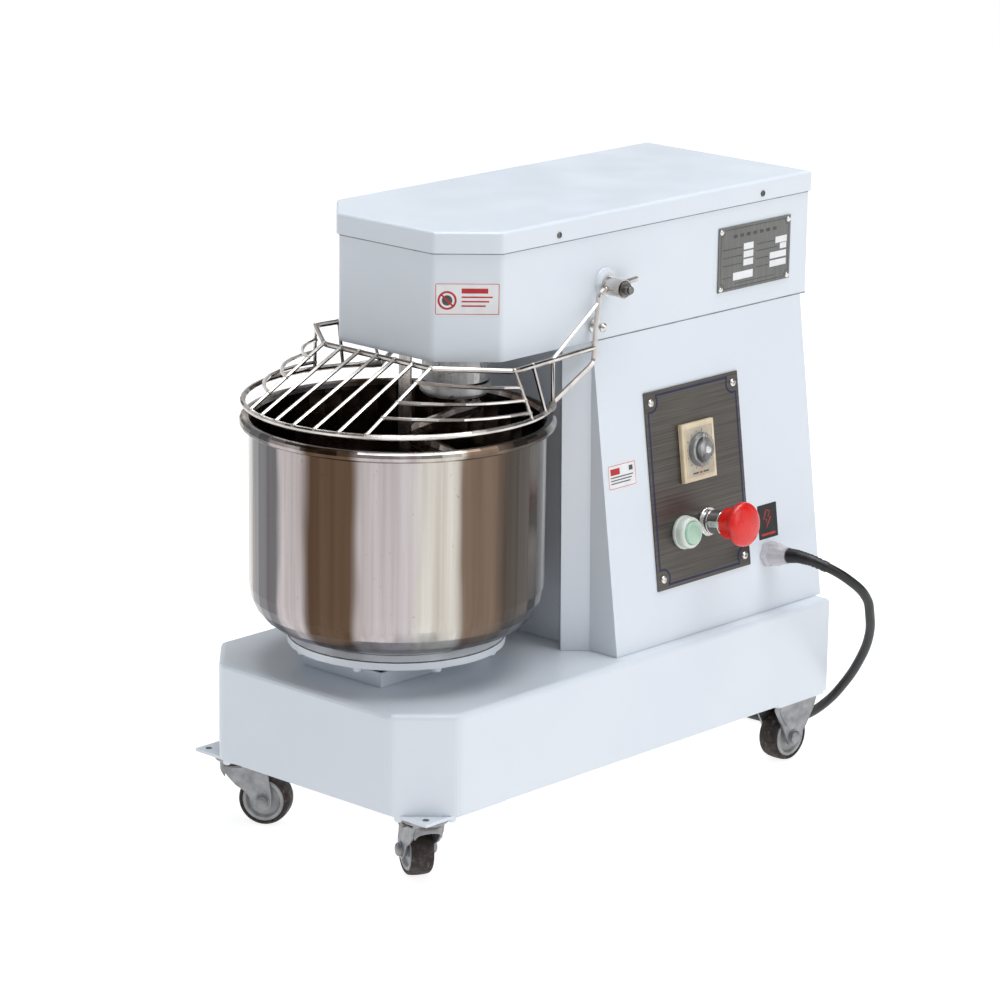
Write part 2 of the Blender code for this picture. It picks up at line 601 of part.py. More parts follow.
def make_drive(m):
    bore = SHAFT + GAP
    counter = m.axis("countershaft_axis", (0, COUNTERSHAFT_Y, 0))
    centre = (0, COUNTERSHAFT_Y)
    m.piece("countershaft", disc(SHAFT, 102, 496, centre=centre, segments=20), "iron", counter)
    m.piece("countershaft_sprocket_upper",
            disc(UPPER_SPROCKET, HEAD_CHAIN_Z, HEAD_CHAIN_Z + 7, bore, 32, centre), "iron", counter)
    m.piece("countershaft_sprocket_lower",
            disc(LOWER_SPROCKET, BASE_CHAIN_Z, BASE_CHAIN_Z + 7, bore, 24, centre), "iron", counter)
    for name, z in (("upper", HEAD_Z + SHEET + GAP), ("lower", BASE_TOP_Z - SHEET - GAP - 10)):
        bearing = m.piece(f"countershaft_bearing_{name}", block(-60, 60, 212, 268, z, z + 10), "iron")
        m.cut(bearing, disc(bore, z - 5, z + 15, centre=centre, segments=24))

    m.piece("spindle_chain", band(SPINDLE_Y, SPINDLE_SPROCKET, COUNTERSHAFT_Y, UPPER_SPROCKET, 5,
                                  HEAD_CHAIN_Z, HEAD_CHAIN_Z + 7), "zinc")
    m.piece("bowl_chain", band(BOWL_Y, BOWL_SPROCKET, COUNTERSHAFT_Y, LOWER_SPROCKET, 5,
                               BASE_CHAIN_Z, BASE_CHAIN_Z + 7), "zinc")
    m.piece("drive_belt", band(SPINDLE_Y, SPINDLE_PULLEY - 6, MOTOR_Y, MOTOR_PULLEY - 6, 6,
                               BELT_Z + 6.3, BELT_Z + 11.7), "belt")

    rotor = m.axis("motor_axis", (0, MOTOR_Y, 0))
    centre = (0, MOTOR_Y)
    shaft = [(0, 404), (8, 404), (8, BELT_Z), (MOTOR_PULLEY + 2, BELT_Z), (MOTOR_PULLEY - 6, BELT_Z + 6),
             (MOTOR_PULLEY - 6, BELT_Z + 12), (MOTOR_PULLEY + 2, BELT_Z + 18), (8, BELT_Z + 18),
             (8, BELT_Z + 22), (0, BELT_Z + 22)]
    m.piece("motor_pulley", turned(shaft, 24, centre), "iron", rotor)
    casing = [(0, 250), (30, 250), (40, 262), (MOTOR_RADIUS, 264), (MOTOR_RADIUS, 392), (40, 394),
              (30, 403.7), (0, 403.7)]
    m.piece("motor", turned(casing, 28, centre), "motor")
    bracket = m.piece("motor_bracket", block(-94, 94, 345, 450, 404, 410), "iron")
    m.cut(bracket, disc(14, 395, 420, centre=centre, segments=24))


# ---------------------------------------------------------------- casters

def fork_outline(swivels, top):
    """A fork plate seen from the side, with the axle at z = WHEEL_RADIUS, down to a round end below it."""
    if swivels:
        return ([(-31, top), (-35.5, WHEEL_RADIUS + 5), *arc(-TRAIL, WHEEL_RADIUS, 9, 190, 330, 6),
                 (-11, 33), (5, 44), (13, top)])
    return ([(-28, top), (-27, top - 10), (-17, top - 27), *arc(0, WHEEL_RADIUS, 9, 200, 340, 6),
             (19, top - 32), (29, top - 18), (33, top - 8), (33, top)])


def make_fork(m, name, parent, place, swivels):
    """A caster's fork: top plate, two sides and the axle, in one piece."""
    top = PLATE_Z - GAP
    plate_top = top - 6 if swivels else top
    half = WHEEL_WIDTH / 2 + 1.5
    outline = fork_outline(swivels, plate_top)
    xs = [outline[0][0] + 0.1, outline[-1][0] - 0.1]
    fork = m.piece(name, block(*xs, -half - 2, half + 2, plate_top - 3, plate_top - 0.1), "zinc",
                   parent, place=place)
    for y in (half - 0.2, -half - 2.0):
        m.join(fork, lofted([[(x, yy, z) for x, z in outline] for yy in (y, y + 2.2)]), place)
    axle_x = -TRAIL if swivels else 0.0
    axle = Matrix.Translation(Vector((axle_x, half + 4, WHEEL_RADIUS)) * MM)
    axle @= Matrix.Rotation(math.pi / 2, 4, "X")
    m.join(fork, disc(AXLE, 0, 2 * half + 8, segments=12), place @ axle)
    if swivels:
        race = [(0, plate_top - 1), (20, plate_top - 1), (21.5, top - 2), (18, top), (0, top)]
        m.join(fork, turned(race, 24), place)
    return fork


def make_wheel(m, name, parent, place):
    """Tread and hub moulded together, turned about the axle."""
    half, bore = WHEEL_WIDTH / 2, AXLE + GAP
    side = [(bore, -half), (8, -half), (8, -half + 3), (16, -half + 3), (17, -half), (21.5, -half),
            (WHEEL_RADIUS, -half + 3)]
    profile = side + [(r, -z) for r, z in reversed(side)]
    m.piece(name, turned(profile, 28), "tread", parent, place=place)


def make_casters(m):
    lie = Matrix.Rotation(math.pi / 2, 4, "X")
    for name, side in (("right", 1), ("left", -1)):
        spot = Vector((side * SWIVEL_X, SWIVEL_Y, 0))
        turn = math.radians(SWIVEL_TURN if side > 0 else 180 - SWIVEL_TURN)
        place = Matrix.Translation(spot * MM) @ Matrix.Rotation(turn, 4, "Z")
        swivel = m.axis(f"front_swivel_{name}", spot)
        make_fork(m, f"front_fork_{name}", swivel, place, True)
        hub = place @ Matrix.Translation(Vector((-TRAIL, 0, WHEEL_RADIUS)) * MM)
        rolling = m.axis(f"front_axle_{name}", hub.translation / MM, swivel)
        make_wheel(m, f"front_wheel_{name}", rolling, hub @ lie)

        spot = Vector((side * REAR_X, REAR_Y, 0))
        place = Matrix.Translation(spot * MM) @ Matrix.Rotation(math.pi / 2, 4, "Z")
        make_fork(m, f"rear_fork_{name}", None, place, False)
        hub = place @ Matrix.Translation(Vector((0, 0, WHEEL_RADIUS)) * MM)
        rolling = m.axis(f"rear_axle_{name}", hub.translation / MM)
        make_wheel(m, f"rear_wheel_{name}", rolling, hub @ lie)


# ---------------------------------------------------------------- controls

def make_controls(m):
    half_w, half_h = PANEL_WIDTH / 2, PANEL_HEIGHT / 2
    m.piece("control_panel", block(-half_w, half_w, -half_h, half_h, GAP, GAP + PANEL_THICK), "panel",
            smooth=False, place=on_side(PANEL_U, PANEL_V))
    face = PANEL_THICK + 2 * GAP
    plate = block(-22.5, 22.5, -27, 27, face, face + 4.6)
    bevel_edges(plate, 1.2, lambda edge: min(v.co.z for v in edge.verts) / MM > face + 4, 2)
    m.piece("timer_plate", plate, "cream", place=on_side(TIMER_U, TIMER_V))

    knob_axis = m.axis("timer_axis", on_side(TIMER_U, TIMER_V + 1.5).translation / MM)
    low = face + 4.6 + GAP
    knob = [(0, low), (15.5, low), (16, low + 2), (16, low + 9), (14.5, low + 10.5), (0, low + 10.5)]
    m.piece("timer_knob", turned(knob, 28), "clear", knob_axis, place=on_side(TIMER_U, TIMER_V + 1.5))

    place = on_side(START_U, START_V)
    m.piece("start_bezel", turned([(10.8, face), (15, face), (15, face + 9), (13.5, face + 11),
                                   (10.8, face + 11)], 28), "bezel", place=place)
    start_axis = m.axis("start_axis", place.translation / MM)
    m.piece("start_button", disc(10.5, face + 4, face + 13.5, segments=24), "mint", start_axis, place=place)

    place = on_side(ESTOP_U, ESTOP_V)
    barrel = [(0, face), (12.5, face), (12.5, face + 2), (11, face + 2), (11, 30), (0, 30)]
    m.piece("estop_barrel", turned(barrel, 24), "chrome", place=place)
    estop_axis = m.axis("estop_axis", place.translation / MM)
    cap = [(11.4, 26), (14.5, 26), (14.8, 37), (16.5, 40), (20.5, 41.5), (20.5, 47), (18, 49.5), (0, 51.5),
           (0, 35.5), (11.4, 35.5)]
    m.piece("estop_button", turned(cap, 28), "red", estop_axis, place=place)

    gland = m.piece("cable_gland", disc(12.5, GAP, 7, segments=6), "nylon", smooth=False,
                    place=on_side(GLAND_U, GLAND_V))
    body = [(0, 6), (10.5, 6), (10.5, 14), (9, 16), (7.2, GLAND_LENGTH), (0, GLAND_LENGTH)]
    m.join(gland, turned(body, 24), on_side(GLAND_U, GLAND_V))


# ---------------------------------------------------------------- mains lead

def smooth_path(points, spacing):
    """Points about this far apart on a Catmull-Rom curve through the given ones."""
    points = [Vector(p) for p in points]
    ends = [points[0] * 2 - points[1], *points, points[-1] * 2 - points[-2]]
    path = []
    for a, b, c, d in zip(ends, ends[1:], ends[2:], ends[3:]):
        steps = max(1, round((c - b).length / spacing))
        for k in range(steps):
            t = k / steps
            path.append(0.5 * (2 * b + (c - a) * t + (2 * a - 5 * b + 4 * c - d) * t ** 2
                               + (3 * b - a - 3 * c + d) * t ** 3))
    return [*path, points[-1]]


def make_cord(m):
    curve = bpy.data.curves.new("power_cord", "CURVE")
    curve.dimensions = "3D"
    curve.bevel_depth = CORD * MM
    curve.bevel_resolution = 2
    curve.use_fill_caps = True
    route = smooth_path(CORD_ROUTE, 5 * CORD)
    spline = curve.splines.new("POLY")
    spline.points.add(len(route) - 1)
    for spot, point in zip(spline.points, route):
        spot.co = (*(point * MM), 1.0)
    curve.materials.append(m.materials["cable"])
    cord = bpy.data.objects.new("power_cord", curve)
    bpy.context.collection.objects.link(cord)
    cord.parent = m.frame

    edge = 3.5
    ring = [(COIL_INNER, edge), (COIL_INNER + edge, 0.2), (COIL_OUTER - edge, 0.2), (COIL_OUTER, edge),
            (COIL_OUTER, COIL_HEIGHT - edge), (COIL_OUTER - edge, COIL_HEIGHT),
            (COIL_INNER + edge, COIL_HEIGHT), (COIL_INNER, COIL_HEIGHT - edge)]
    m.piece("cord_coil", turned(ring, 36, (COIL_X, COIL_Y)), "cable")

    body = [(0, 0), (5.5, 0), (7.5, 20), (10, 22), (PLUG_RADIUS, 30), (PLUG_RADIUS, 52), (PLUG_RADIUS - 2, 56),
            (0, 56)]
    place = Matrix.Translation(Vector((PLUG_X, PLUG_Y, PLUG_Z)) * MM) @ Matrix.Rotation(-math.pi / 2, 4, "X")
    plug = m.piece("mains_plug", turned(body, 24), "cable", place=place)
    for x in (-9.5, 9.5):
        m.join(plug, disc(2.4, 50, 75, centre=(x, 0), segments=12), place)


def main():
    for thing in list(bpy.data.objects):
        bpy.data.objects.remove(thing)
    m = Machine()
    make_base(m)
    make_column(m)
    make_head(m)
    make_bowl(m)
    make_spiral(m)
    make_guard(m)
    make_drive(m)
    make_casters(m)
    make_controls(m)
    make_cord(m)


main()
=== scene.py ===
"""The spiral dough mixer's looks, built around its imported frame.

Pieces are placed in the machine's own millimetres: X across from the centre plane, Y back from the head's
front face, Z up from the floor. PLACE carries them to the frame's metres.
"""

import json
import math

import bmesh
import bpy
from mathutils import Matrix, Vector


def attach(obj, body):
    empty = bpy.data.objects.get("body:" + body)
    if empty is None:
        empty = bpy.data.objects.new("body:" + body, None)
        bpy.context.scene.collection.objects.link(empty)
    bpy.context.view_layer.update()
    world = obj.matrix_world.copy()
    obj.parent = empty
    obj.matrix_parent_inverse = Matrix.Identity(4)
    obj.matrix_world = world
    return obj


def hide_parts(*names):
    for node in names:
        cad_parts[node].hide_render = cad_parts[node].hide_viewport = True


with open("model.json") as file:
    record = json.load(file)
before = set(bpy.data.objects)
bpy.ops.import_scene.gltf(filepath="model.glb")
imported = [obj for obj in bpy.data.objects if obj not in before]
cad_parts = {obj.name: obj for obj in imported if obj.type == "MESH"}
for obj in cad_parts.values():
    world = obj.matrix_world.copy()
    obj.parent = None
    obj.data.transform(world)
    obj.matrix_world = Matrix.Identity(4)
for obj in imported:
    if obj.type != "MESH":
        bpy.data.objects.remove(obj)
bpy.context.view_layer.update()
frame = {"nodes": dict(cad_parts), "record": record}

MM = 0.001
PLACE = Matrix.Translation(Vector((-14.5, -169.3, 0)) * MM)
AZIMUTH, ELEVATION, ROLL = math.radians(42.79), math.radians(15.23), math.radians(0.81)
DISTANCE, FOCAL = 3.841, 148.7
AIM = Vector((-0.0594, 0.0307, 0.26547))

SIDE_TILT = math.atan2(137.25 - 100.0, 447.6 - 160.3)
BOWL_AXIS, SPINDLE_AXIS = (0, 17.1), (0, 90)
PIVOT = Vector((0, 176.0, 496.2))
WHEEL_Z = 24.0
STAY = Matrix.Identity(4)

# The guard's ring, and its frame: front corner, side corner and rear end, all at wire centres or tops.
RING_RADIUS, RING_Z, RING_TOP_Z = 137.0, 401.0, 402.5
FRAME_TOP_Z, FRAME_FRONT, FRAME_FRONT_X = 445.5, -9.8, 65.6
SIDE_CORNER, FRAME_REAR = (122.6, 35.3), (109.0, 154.4)
BRACE_END = (109.0, 157.4, 484.0)

# Painted reflections: these colours and the stops below put light and dark stripes round the bowl's axis,
# fixed to the bowl so they turn with it.
PINK, SILVER, BROWN = (0.50, 0.455, 0.46), (0.58, 0.55, 0.50), (0.105, 0.066, 0.042)
TAN, DARK, SLATE = (0.17, 0.122, 0.09), (0.075, 0.062, 0.053), (0.125, 0.12, 0.125)
BOWL_PAINTED_REFLECTIONS = [
    (0.0, SLATE), (0.06, SILVER), (0.11, TAN), (0.15, SILVER), (0.178, SLATE), (0.222, SLATE), (0.232, PINK),
    (0.266, PINK), (0.276, BROWN), (0.322, BROWN), (0.333, PINK), (0.390, PINK), (0.400, SILVER),
    (0.438, SILVER),
    (0.446, TAN), (0.484, TAN), (0.500, DARK), (0.562, DARK), (0.585, SILVER), (0.64, PINK), (0.67, BROWN),
    (0.73, TAN), (0.75, PINK), (0.83, SILVER), (0.86, DARK), (0.92, BROWN), (0.95, PINK), (1.0, SLATE),
]

CORD = 4.5
CORD_ROUTE = [
    (0.1415, 0.2117, 0.2167), (0.1515, 0.2122, 0.2179), (0.1655, 0.2147, 0.2165), (0.1810, 0.2222, 0.2105),
    (0.1930, 0.2362, 0.1990), (0.1975, 0.2577, 0.1790), (0.1920, 0.2722, 0.1570), (0.1815, 0.2857, 0.1310),
    (0.1640, 0.2952, 0.1015), (0.1415, 0.3012, 0.0715), (0.1145, 0.3067, 0.0440), (0.0835, 0.3122, 0.0225),
    (0.0505, 0.3177, 0.0100), (0.0175, 0.3222, 0.0056), (-0.0145, 0.3257, 0.0048), (-0.0445, 0.3279, 0.0050),
    (-0.0748, 0.3284, 0.0054),
]
COIL = Vector((-0.1095, 0.3870, 0.0))
PLUG_TAIL = Vector((-0.1681, 0.4229, 0.0165))


# ---------------------------------------------------------------- camera

def make_camera():
    back = Vector((math.sin(AZIMUTH) * math.cos(ELEVATION), -math.cos(AZIMUTH) * math.cos(ELEVATION),
                   math.sin(ELEVATION)))
    right = Vector((math.cos(AZIMUTH), math.sin(AZIMUTH), 0))
    up = back.cross(right)
    cos, sin = math.cos(ROLL), math.sin(ROLL)
    across, above = right * cos + up * sin, up * cos - right * sin
    data = bpy.data.cameras.new("camera")
    data.lens = FOCAL
    data.clip_end = 50
    camera = bpy.data.objects.new("camera", data)
    bpy.context.scene.collection.objects.link(camera)
    place = Matrix((across, above, back)).transposed().to_4x4()
    place.translation = AIM + back * DISTANCE
    camera.matrix_world = place
    bpy.context.scene.camera = camera


# ---------------------------------------------------------------- materials

class Look:
    """A material: one Principled shader fed by a few procedural layers in object space, in metres."""

    def __init__(self, name, colour, roughness, metallic=0.0, **fixed):
        self.material = bpy.data.materials.new(name)
        self.material.use_nodes = True
        self.nodes = self.material.node_tree.nodes
        self.links = self.material.node_tree.links
        self.shader = self.nodes["Principled BSDF"]
        self.shader.inputs["Base Color"].default_value = (*colour, 1)
        self.shader.inputs["Roughness"].default_value = roughness
        self.shader.inputs["Metallic"].default_value = metallic
        for socket, value in fixed.items():
            self.shader.inputs[socket.replace("_", " ")].default_value = value
        self.space = self.nodes.new("ShaderNodeTexCoord").outputs["Object"]
        self.normal = None

    def math(self, operation, *values):
        node = self.nodes.new("ShaderNodeMath")
        node.operation = operation
        for socket, value in zip(node.inputs, values):
            if isinstance(value, (int, float)):
                socket.default_value = value
            else:
                self.links.new(value, socket)
        return node.outputs[0]

    def noise(self, scale, detail=3.0, roughness=0.5, distortion=0.0):
        """Noise whose cells are 1/scale metres along each axis; scale is one number or three."""
        mapping = self.nodes.new("ShaderNodeMapping")
        mapping.inputs["Scale"].default_value = scale if isinstance(scale, tuple) else (scale,) * 3
        self.links.new(self.space, mapping.inputs["Vector"])
        node = self.nodes.new("ShaderNodeTexNoise")
        node.inputs["Scale"].default_value = 1.0
        node.inputs["Detail"].default_value = detail
        node.inputs["Roughness"].default_value = roughness
        node.inputs["Distortion"].default_value = distortion
        self.links.new(mapping.outputs[0], node.inputs["Vector"])
        return node.outputs["Fac"]

    def ramp(self, fac, *stops):
        node = self.nodes.new("ShaderNodeValToRGB")
        band = node.color_ramp
        while len(band.elements) < len(stops):
            band.elements.new(0.5)
        for element, (position, colour) in zip(band.elements, stops):
            element.position = position
            element.color = (*colour, 1)
        self.links.new(fac, node.inputs["Fac"])
        return node.outputs["Color"]

    def mix(self, fac, one, two, blend="MIX"):
        node = self.nodes.new("ShaderNodeMix")
        node.data_type, node.blend_type = "RGBA", blend
        for socket, value in ((node.inputs[0], fac), (node.inputs[6], one), (node.inputs[7], two)):
            if isinstance(value, tuple):
                socket.default_value = (*value, 1)
            elif isinstance(value, (int, float)):
                socket.default_value = value
            else:
                self.links.new(value, socket)
        return node.outputs[2]

    def colour(self, output):
        self.links.new(output, self.shader.inputs["Base Color"])
        return self

    def cloud(self, scale, dark, light, low=0.35, high=0.65, detail=4.0):
        return self.colour(self.ramp(self.noise(scale, detail), (low, dark), (high, light)))

    def rough(self, fac, low, high):
        node = self.nodes.new("ShaderNodeMapRange")
        node.inputs["From Min"].default_value, node.inputs["From Max"].default_value = 0.3, 0.7
        node.inputs["To Min"].default_value, node.inputs["To Max"].default_value = low, high
        self.links.new(fac, node.inputs["Value"])
        self.links.new(node.outputs[0], self.shader.inputs["Roughness"])
        return self

    def bump(self, height, strength, distance=0.0003):
        node = self.nodes.new("ShaderNodeBump")
        node.inputs["Strength"].default_value = strength
        node.inputs["Distance"].default_value = distance
        self.links.new(height, node.inputs["Height"])
        if self.normal is not None:
            self.links.new(self.normal, node.inputs["Normal"])
        self.normal = node.outputs["Normal"]
        self.links.new(self.normal, self.shader.inputs["Normal"])
        return self

    def axes(self):
        node = self.nodes.new("ShaderNodeSeparateXYZ")
        self.links.new(self.space, node.inputs[0])
        return node.outputs


def powder_coat(name, dark, light):
    look = Look(name, light, 0.36, Coat_Weight=0.25, Coat_Roughness=0.12, Specular_IOR_Level=0.5)
    look.cloud(7.0, dark, light)
    look.rough(look.noise(22.0, 3.0), 0.30, 0.44)
    look.bump(look.noise(620.0, 1.5), 0.10, 0.0002)
    look.bump(look.noise(28.0, 1.0), 0.04, 0.002)
    return look


def steel(name, dark, light, low, high, lines=(2.0, 2.0, 700.0)):
    """Stainless: hairlines along two axes, with cloudy colour and gloss."""
    look = Look(name, light, (low + high) / 2, 1.0)
    look.cloud((30.0, 30.0, 12.0), dark, light)
    look.rough(look.noise((14.0, 14.0, 40.0), 4.0), low, high)
    look.bump(look.noise(lines, 2.0, 0.7), 0.07, 0.0001)
    return look


def bowl_steel():
    """Polished outside carrying tall soft bands of painted reflection, fixed to the bowl; the inside is
    coloured a dull dark brown.
    """
    look = Look("bowl_polish_and_painted_reflections", (0.7, 0.66, 0.63), 0.2, 1.0)
    x, y, z = look.axes()
    out_x = look.math("SUBTRACT", x, BOWL_AXIS[0] * MM + PLACE.translation.x)
    out_y = look.math("SUBTRACT", y, BOWL_AXIS[1] * MM + PLACE.translation.y)
    facing_node = look.nodes.new("ShaderNodeSeparateXYZ")
    look.links.new(look.nodes.new("ShaderNodeTexCoord").outputs["Normal"], facing_node.inputs[0])
    n_x, n_y, n_z = facing_node.outputs
    outward = look.math("ADD", look.math("MULTIPLY", out_x, n_x), look.math("MULTIPLY", out_y, n_y))
    turned_in = look.math("LESS_THAN", look.math("SUBTRACT", outward, look.math("MULTIPLY", n_z, 0.006)), 0.0)
    inside = look.math("MULTIPLY", turned_in, look.math("LESS_THAN", z, 0.3795))
    around = look.math("ADD", look.math("DIVIDE", look.math("ARCTAN2", out_y, out_x), 2 * math.pi), 0.5)
    wobble = look.math("MULTIPLY", look.math("SUBTRACT", look.noise((24.0, 24.0, 5.0), 2.0), 0.5), 0.022)
    # Painted reflection: light and dark stripes by angle round the bowl's axis, wobbled a little.
    painted_reflections = look.ramp(look.math("ADD", around, wobble), *BOWL_PAINTED_REFLECTIONS)
    fine = look.ramp(look.noise((90.0, 90.0, 2.0), 3.0), (0.35, (0.76, 0.73, 0.71)), (0.65, (1.0, 1.0, 1.0)))
    marks = look.ramp(look.noise((210.0, 210.0, 330.0), 3.0, 0.6), (0.24, (0.42, 0.36, 0.32)),
                      (0.31, (1.0, 1.0, 1.0)))
    outer = look.mix(1.0, look.mix(1.0, painted_reflections, fine, "MULTIPLY"), marks, "MULTIPLY")
    # The inside is coloured a dull dark brown, darker and lighter at random.
    inside_brown = look.ramp(look.noise((14.0, 14.0, 60.0), 4.0), (0.35, (0.12, 0.090, 0.076)),
                     (0.65, (0.25, 0.195, 0.165)))
    look.colour(look.mix(inside, outer, inside_brown))
    look.rough(look.noise((25.0, 25.0, 6.0), 4.0), 0.13, 0.27)
    look.bump(look.noise((3.0, 3.0, 800.0), 2.0, 0.7), 0.06, 0.0001)
    look.bump(look.noise((16.0, 16.0, 9.0), 2.0), 0.10, 0.002)
    return look


def brushed(name, dark, light, roughness, lines):
    look = Look(name, light, roughness, 1.0)
    streaks = look.ramp(look.noise(lines, 4.0, 0.6), (0.25, dark), (0.75, light))
    smudges = look.ramp(look.noise(17.0, 3.0), (0.3, (0.86, 0.86, 0.86)), (0.7, (1.0, 1.0, 1.0)))
    look.colour(look.mix(1.0, streaks, smudges, "MULTIPLY"))
    look.rough(look.noise(lines, 3.0), roughness - 0.08, roughness + 0.08)
    look.bump(look.noise(lines, 3.0), 0.12, 0.0002)
    return look


def zinc(name, dark, light, roughness=0.38, metallic=1.0):
    look = Look(name, light, roughness, metallic)
    look.cloud(110.0, dark, light, 0.3, 0.7)
    look.rough(look.noise(160.0), roughness - 0.10, roughness + 0.12)
    look.bump(look.noise(700.0, 2.0), 0.12, 0.0002)
    return look


def cast(name, dark, light, metallic, roughness, grain=450.0, strength=0.3):
    look = Look(name, light, roughness, metallic)
    look.cloud(60.0, dark, light, 0.3, 0.7)
    look.rough(look.noise(90.0), roughness - 0.1, roughness + 0.12)
    look.bump(look.noise(grain, 4.0), strength, 0.0003)
    return look


def moulded(name, dark, light, roughness, **fixed):
    """Moulded plastic or rubber with a faint sparked texture."""
    look = Look(name, light, roughness, **fixed)
    look.cloud(70.0, dark, light)
    look.rough(look.noise(130.0), max(0.03, roughness - 0.06), roughness + 0.08)
    look.bump(look.noise(1500.0, 2.0), 0.10, 0.0001)
    return look


def worn_tread():
    look = Look("worn_tread", (0.04, 0.03, 0.025), 0.65)
    look.colour(look.ramp(look.noise(210.0, 5.0, 0.65), (0.36, (0.008, 0.005, 0.005)),
                          (0.55, (0.026, 0.016, 0.012)),
                          (0.66, (0.075, 0.052, 0.040)), (0.78, (0.22, 0.18, 0.15))))
    look.rough(look.noise(150.0), 0.5, 0.85)
    look.bump(look.noise(330.0, 5.0), 0.6, 0.0008)
    return look


def make_looks():
    return {
        "white_enamel": powder_coat("powder_coat", (0.735, 0.782, 0.84), (0.765, 0.808, 0.862)),
        "polished_steel": steel("spiral_steel", (0.36, 0.30, 0.26), (0.74, 0.70, 0.68), 0.16, 0.34),
        "bowl": bowl_steel(),
        "stainless_wire": steel("bright_wire", (0.44, 0.40, 0.37), (0.78, 0.75, 0.72), 0.14, 0.28,
                                (400.0, 400.0, 400.0)),
        "weld": cast("weld_bead", (0.34, 0.30, 0.26), (0.66, 0.63, 0.58), 1.0, 0.38, 500.0, 0.5),
        "panel_steel": brushed("dark_brushed", (0.085, 0.078, 0.070), (0.19, 0.175, 0.16), 0.42,
                               (900.0, 9.0, 900.0)),
        "nameplate_steel": brushed("plate_brushed", (0.16, 0.16, 0.155), (0.30, 0.30, 0.29), 0.45,
                                   (900.0, 900.0, 12.0)),
        "zinc_plate": zinc("zinc_grey", (0.23, 0.23, 0.24), (0.38, 0.38, 0.39), 0.42, 0.75),
        "bright_zinc": zinc("bright_screw", (0.60, 0.58, 0.55), (0.84, 0.83, 0.81), 0.24),
        "dark_steel": zinc("dark_hex", (0.10, 0.09, 0.085), (0.26, 0.25, 0.24), 0.40),
        "cast_iron": cast("machined_iron", (0.13, 0.13, 0.135), (0.24, 0.24, 0.25), 1.0, 0.5),
        "motor_paint": cast("motor_enamel", (0.12, 0.18, 0.23), (0.17, 0.24, 0.29), 0.0, 0.45, 260.0, 0.2),
        "belt_rubber": cast("ribbed_rubber", (0.018, 0.018, 0.018), (0.040, 0.040, 0.040), 0.0, 0.8, 900.0,
                            0.4),
        "caster_tread": worn_tread(),
        "hub": cast("hub_nylon", (0.24, 0.24, 0.25), (0.45, 0.45, 0.45), 0.0, 0.45, 400.0, 0.25),
        "cream_plastic": moulded("cream_urea", (0.70, 0.58, 0.40), (0.80, 0.68, 0.49), 0.38, Coat_Weight=0.1),
        "dial_card": moulded("dial_card", (0.52, 0.46, 0.36), (0.62, 0.56, 0.45), 0.5),
        "clear_knob": moulded("clear_acrylic", (0.80, 0.81, 0.82), (0.92, 0.93, 0.93), 0.08,
                              Transmission_Weight=0.85,
                              IOR=1.49),
        "mint_button": moulded("mint_urea", (0.40, 0.62, 0.48), (0.46, 0.68, 0.54), 0.32, Coat_Weight=0.2),
        "bezel_plastic": moulded("milky_bezel", (0.66, 0.73, 0.66), (0.76, 0.82, 0.76), 0.30, Coat_Weight=0.2,
                                 Subsurface_Weight=0.15, Subsurface_Scale=0.003),
        "red_mushroom": moulded("red_moulding", (0.66, 0.006, 0.004), (0.80, 0.012, 0.008), 0.30,
                                Coat_Weight=0.35,
                                Coat_Roughness=0.15),
        # Painted shadow colour for the dark lines under the casing's overhangs.
        "seam_shadow": moulded("seam_painted_shadow", (0.16, 0.155, 0.15), (0.30, 0.30, 0.30), 0.7),
        "machined": zinc("machined_alloy", (0.60, 0.60, 0.60), (0.78, 0.78, 0.78), 0.34, 0.55),
        "chrome_barrel": steel("chrome", (0.74, 0.74, 0.75), (0.90, 0.90, 0.91), 0.06, 0.14),
        "grey_nylon": moulded("gland_nylon", (0.52, 0.50, 0.53), (0.64, 0.62, 0.65), 0.42),
        "black_cable": moulded("black_sheath", (0.006, 0.006, 0.006), (0.014, 0.014, 0.015), 0.38),
        "navy_ink": moulded("navy_ink", (0.004, 0.006, 0.045), (0.008, 0.012, 0.070), 0.45),
        "red_ink": moulded("red_ink", (0.45, 0.010, 0.012), (0.58, 0.018, 0.018), 0.40),
        "label_white": moulded("label_white", (0.80, 0.80, 0.81), (0.87, 0.87, 0.87), 0.35),
        "label_black": moulded("label_black", (0.006, 0.005, 0.005), (0.012, 0.010, 0.010), 0.5),
        "dull_ink": moulded("dull_ink", (0.05, 0.045, 0.045), (0.09, 0.085, 0.085), 0.45),
    }


# ---------------------------------------------------------------- mesh tools

def vert(bm, point):
    return bm.verts.new(Vector(point) * MM)


def lofted(rings, closed_ends=True):
    bm = bmesh.new()
    loops = [[vert(bm, point) for point in ring] for ring in rings]
    for low, high in zip(loops, loops[1:]):
        for i in range(len(low)):
            j = (i + 1) % len(low)
            bm.faces.new((low[i], low[j], high[j], high[i]))
    if closed_ends:
        bm.faces.new(reversed(loops[0]))
        bm.faces.new(loops[-1])
    return bm


def looped(rings):
    """A ring of cross sections that closes on itself."""
    return lofted([*rings, rings[0]], False)


def prism(outline, z0, z1):
    return lofted([[(x, y, z) for x, y in outline] for z in (z0, z1)])


def block(x0, x1, y0, y1, z0, z1):
    return prism([(x0, y0), (x1, y0), (x1, y1), (x0, y1)], z0, z1)


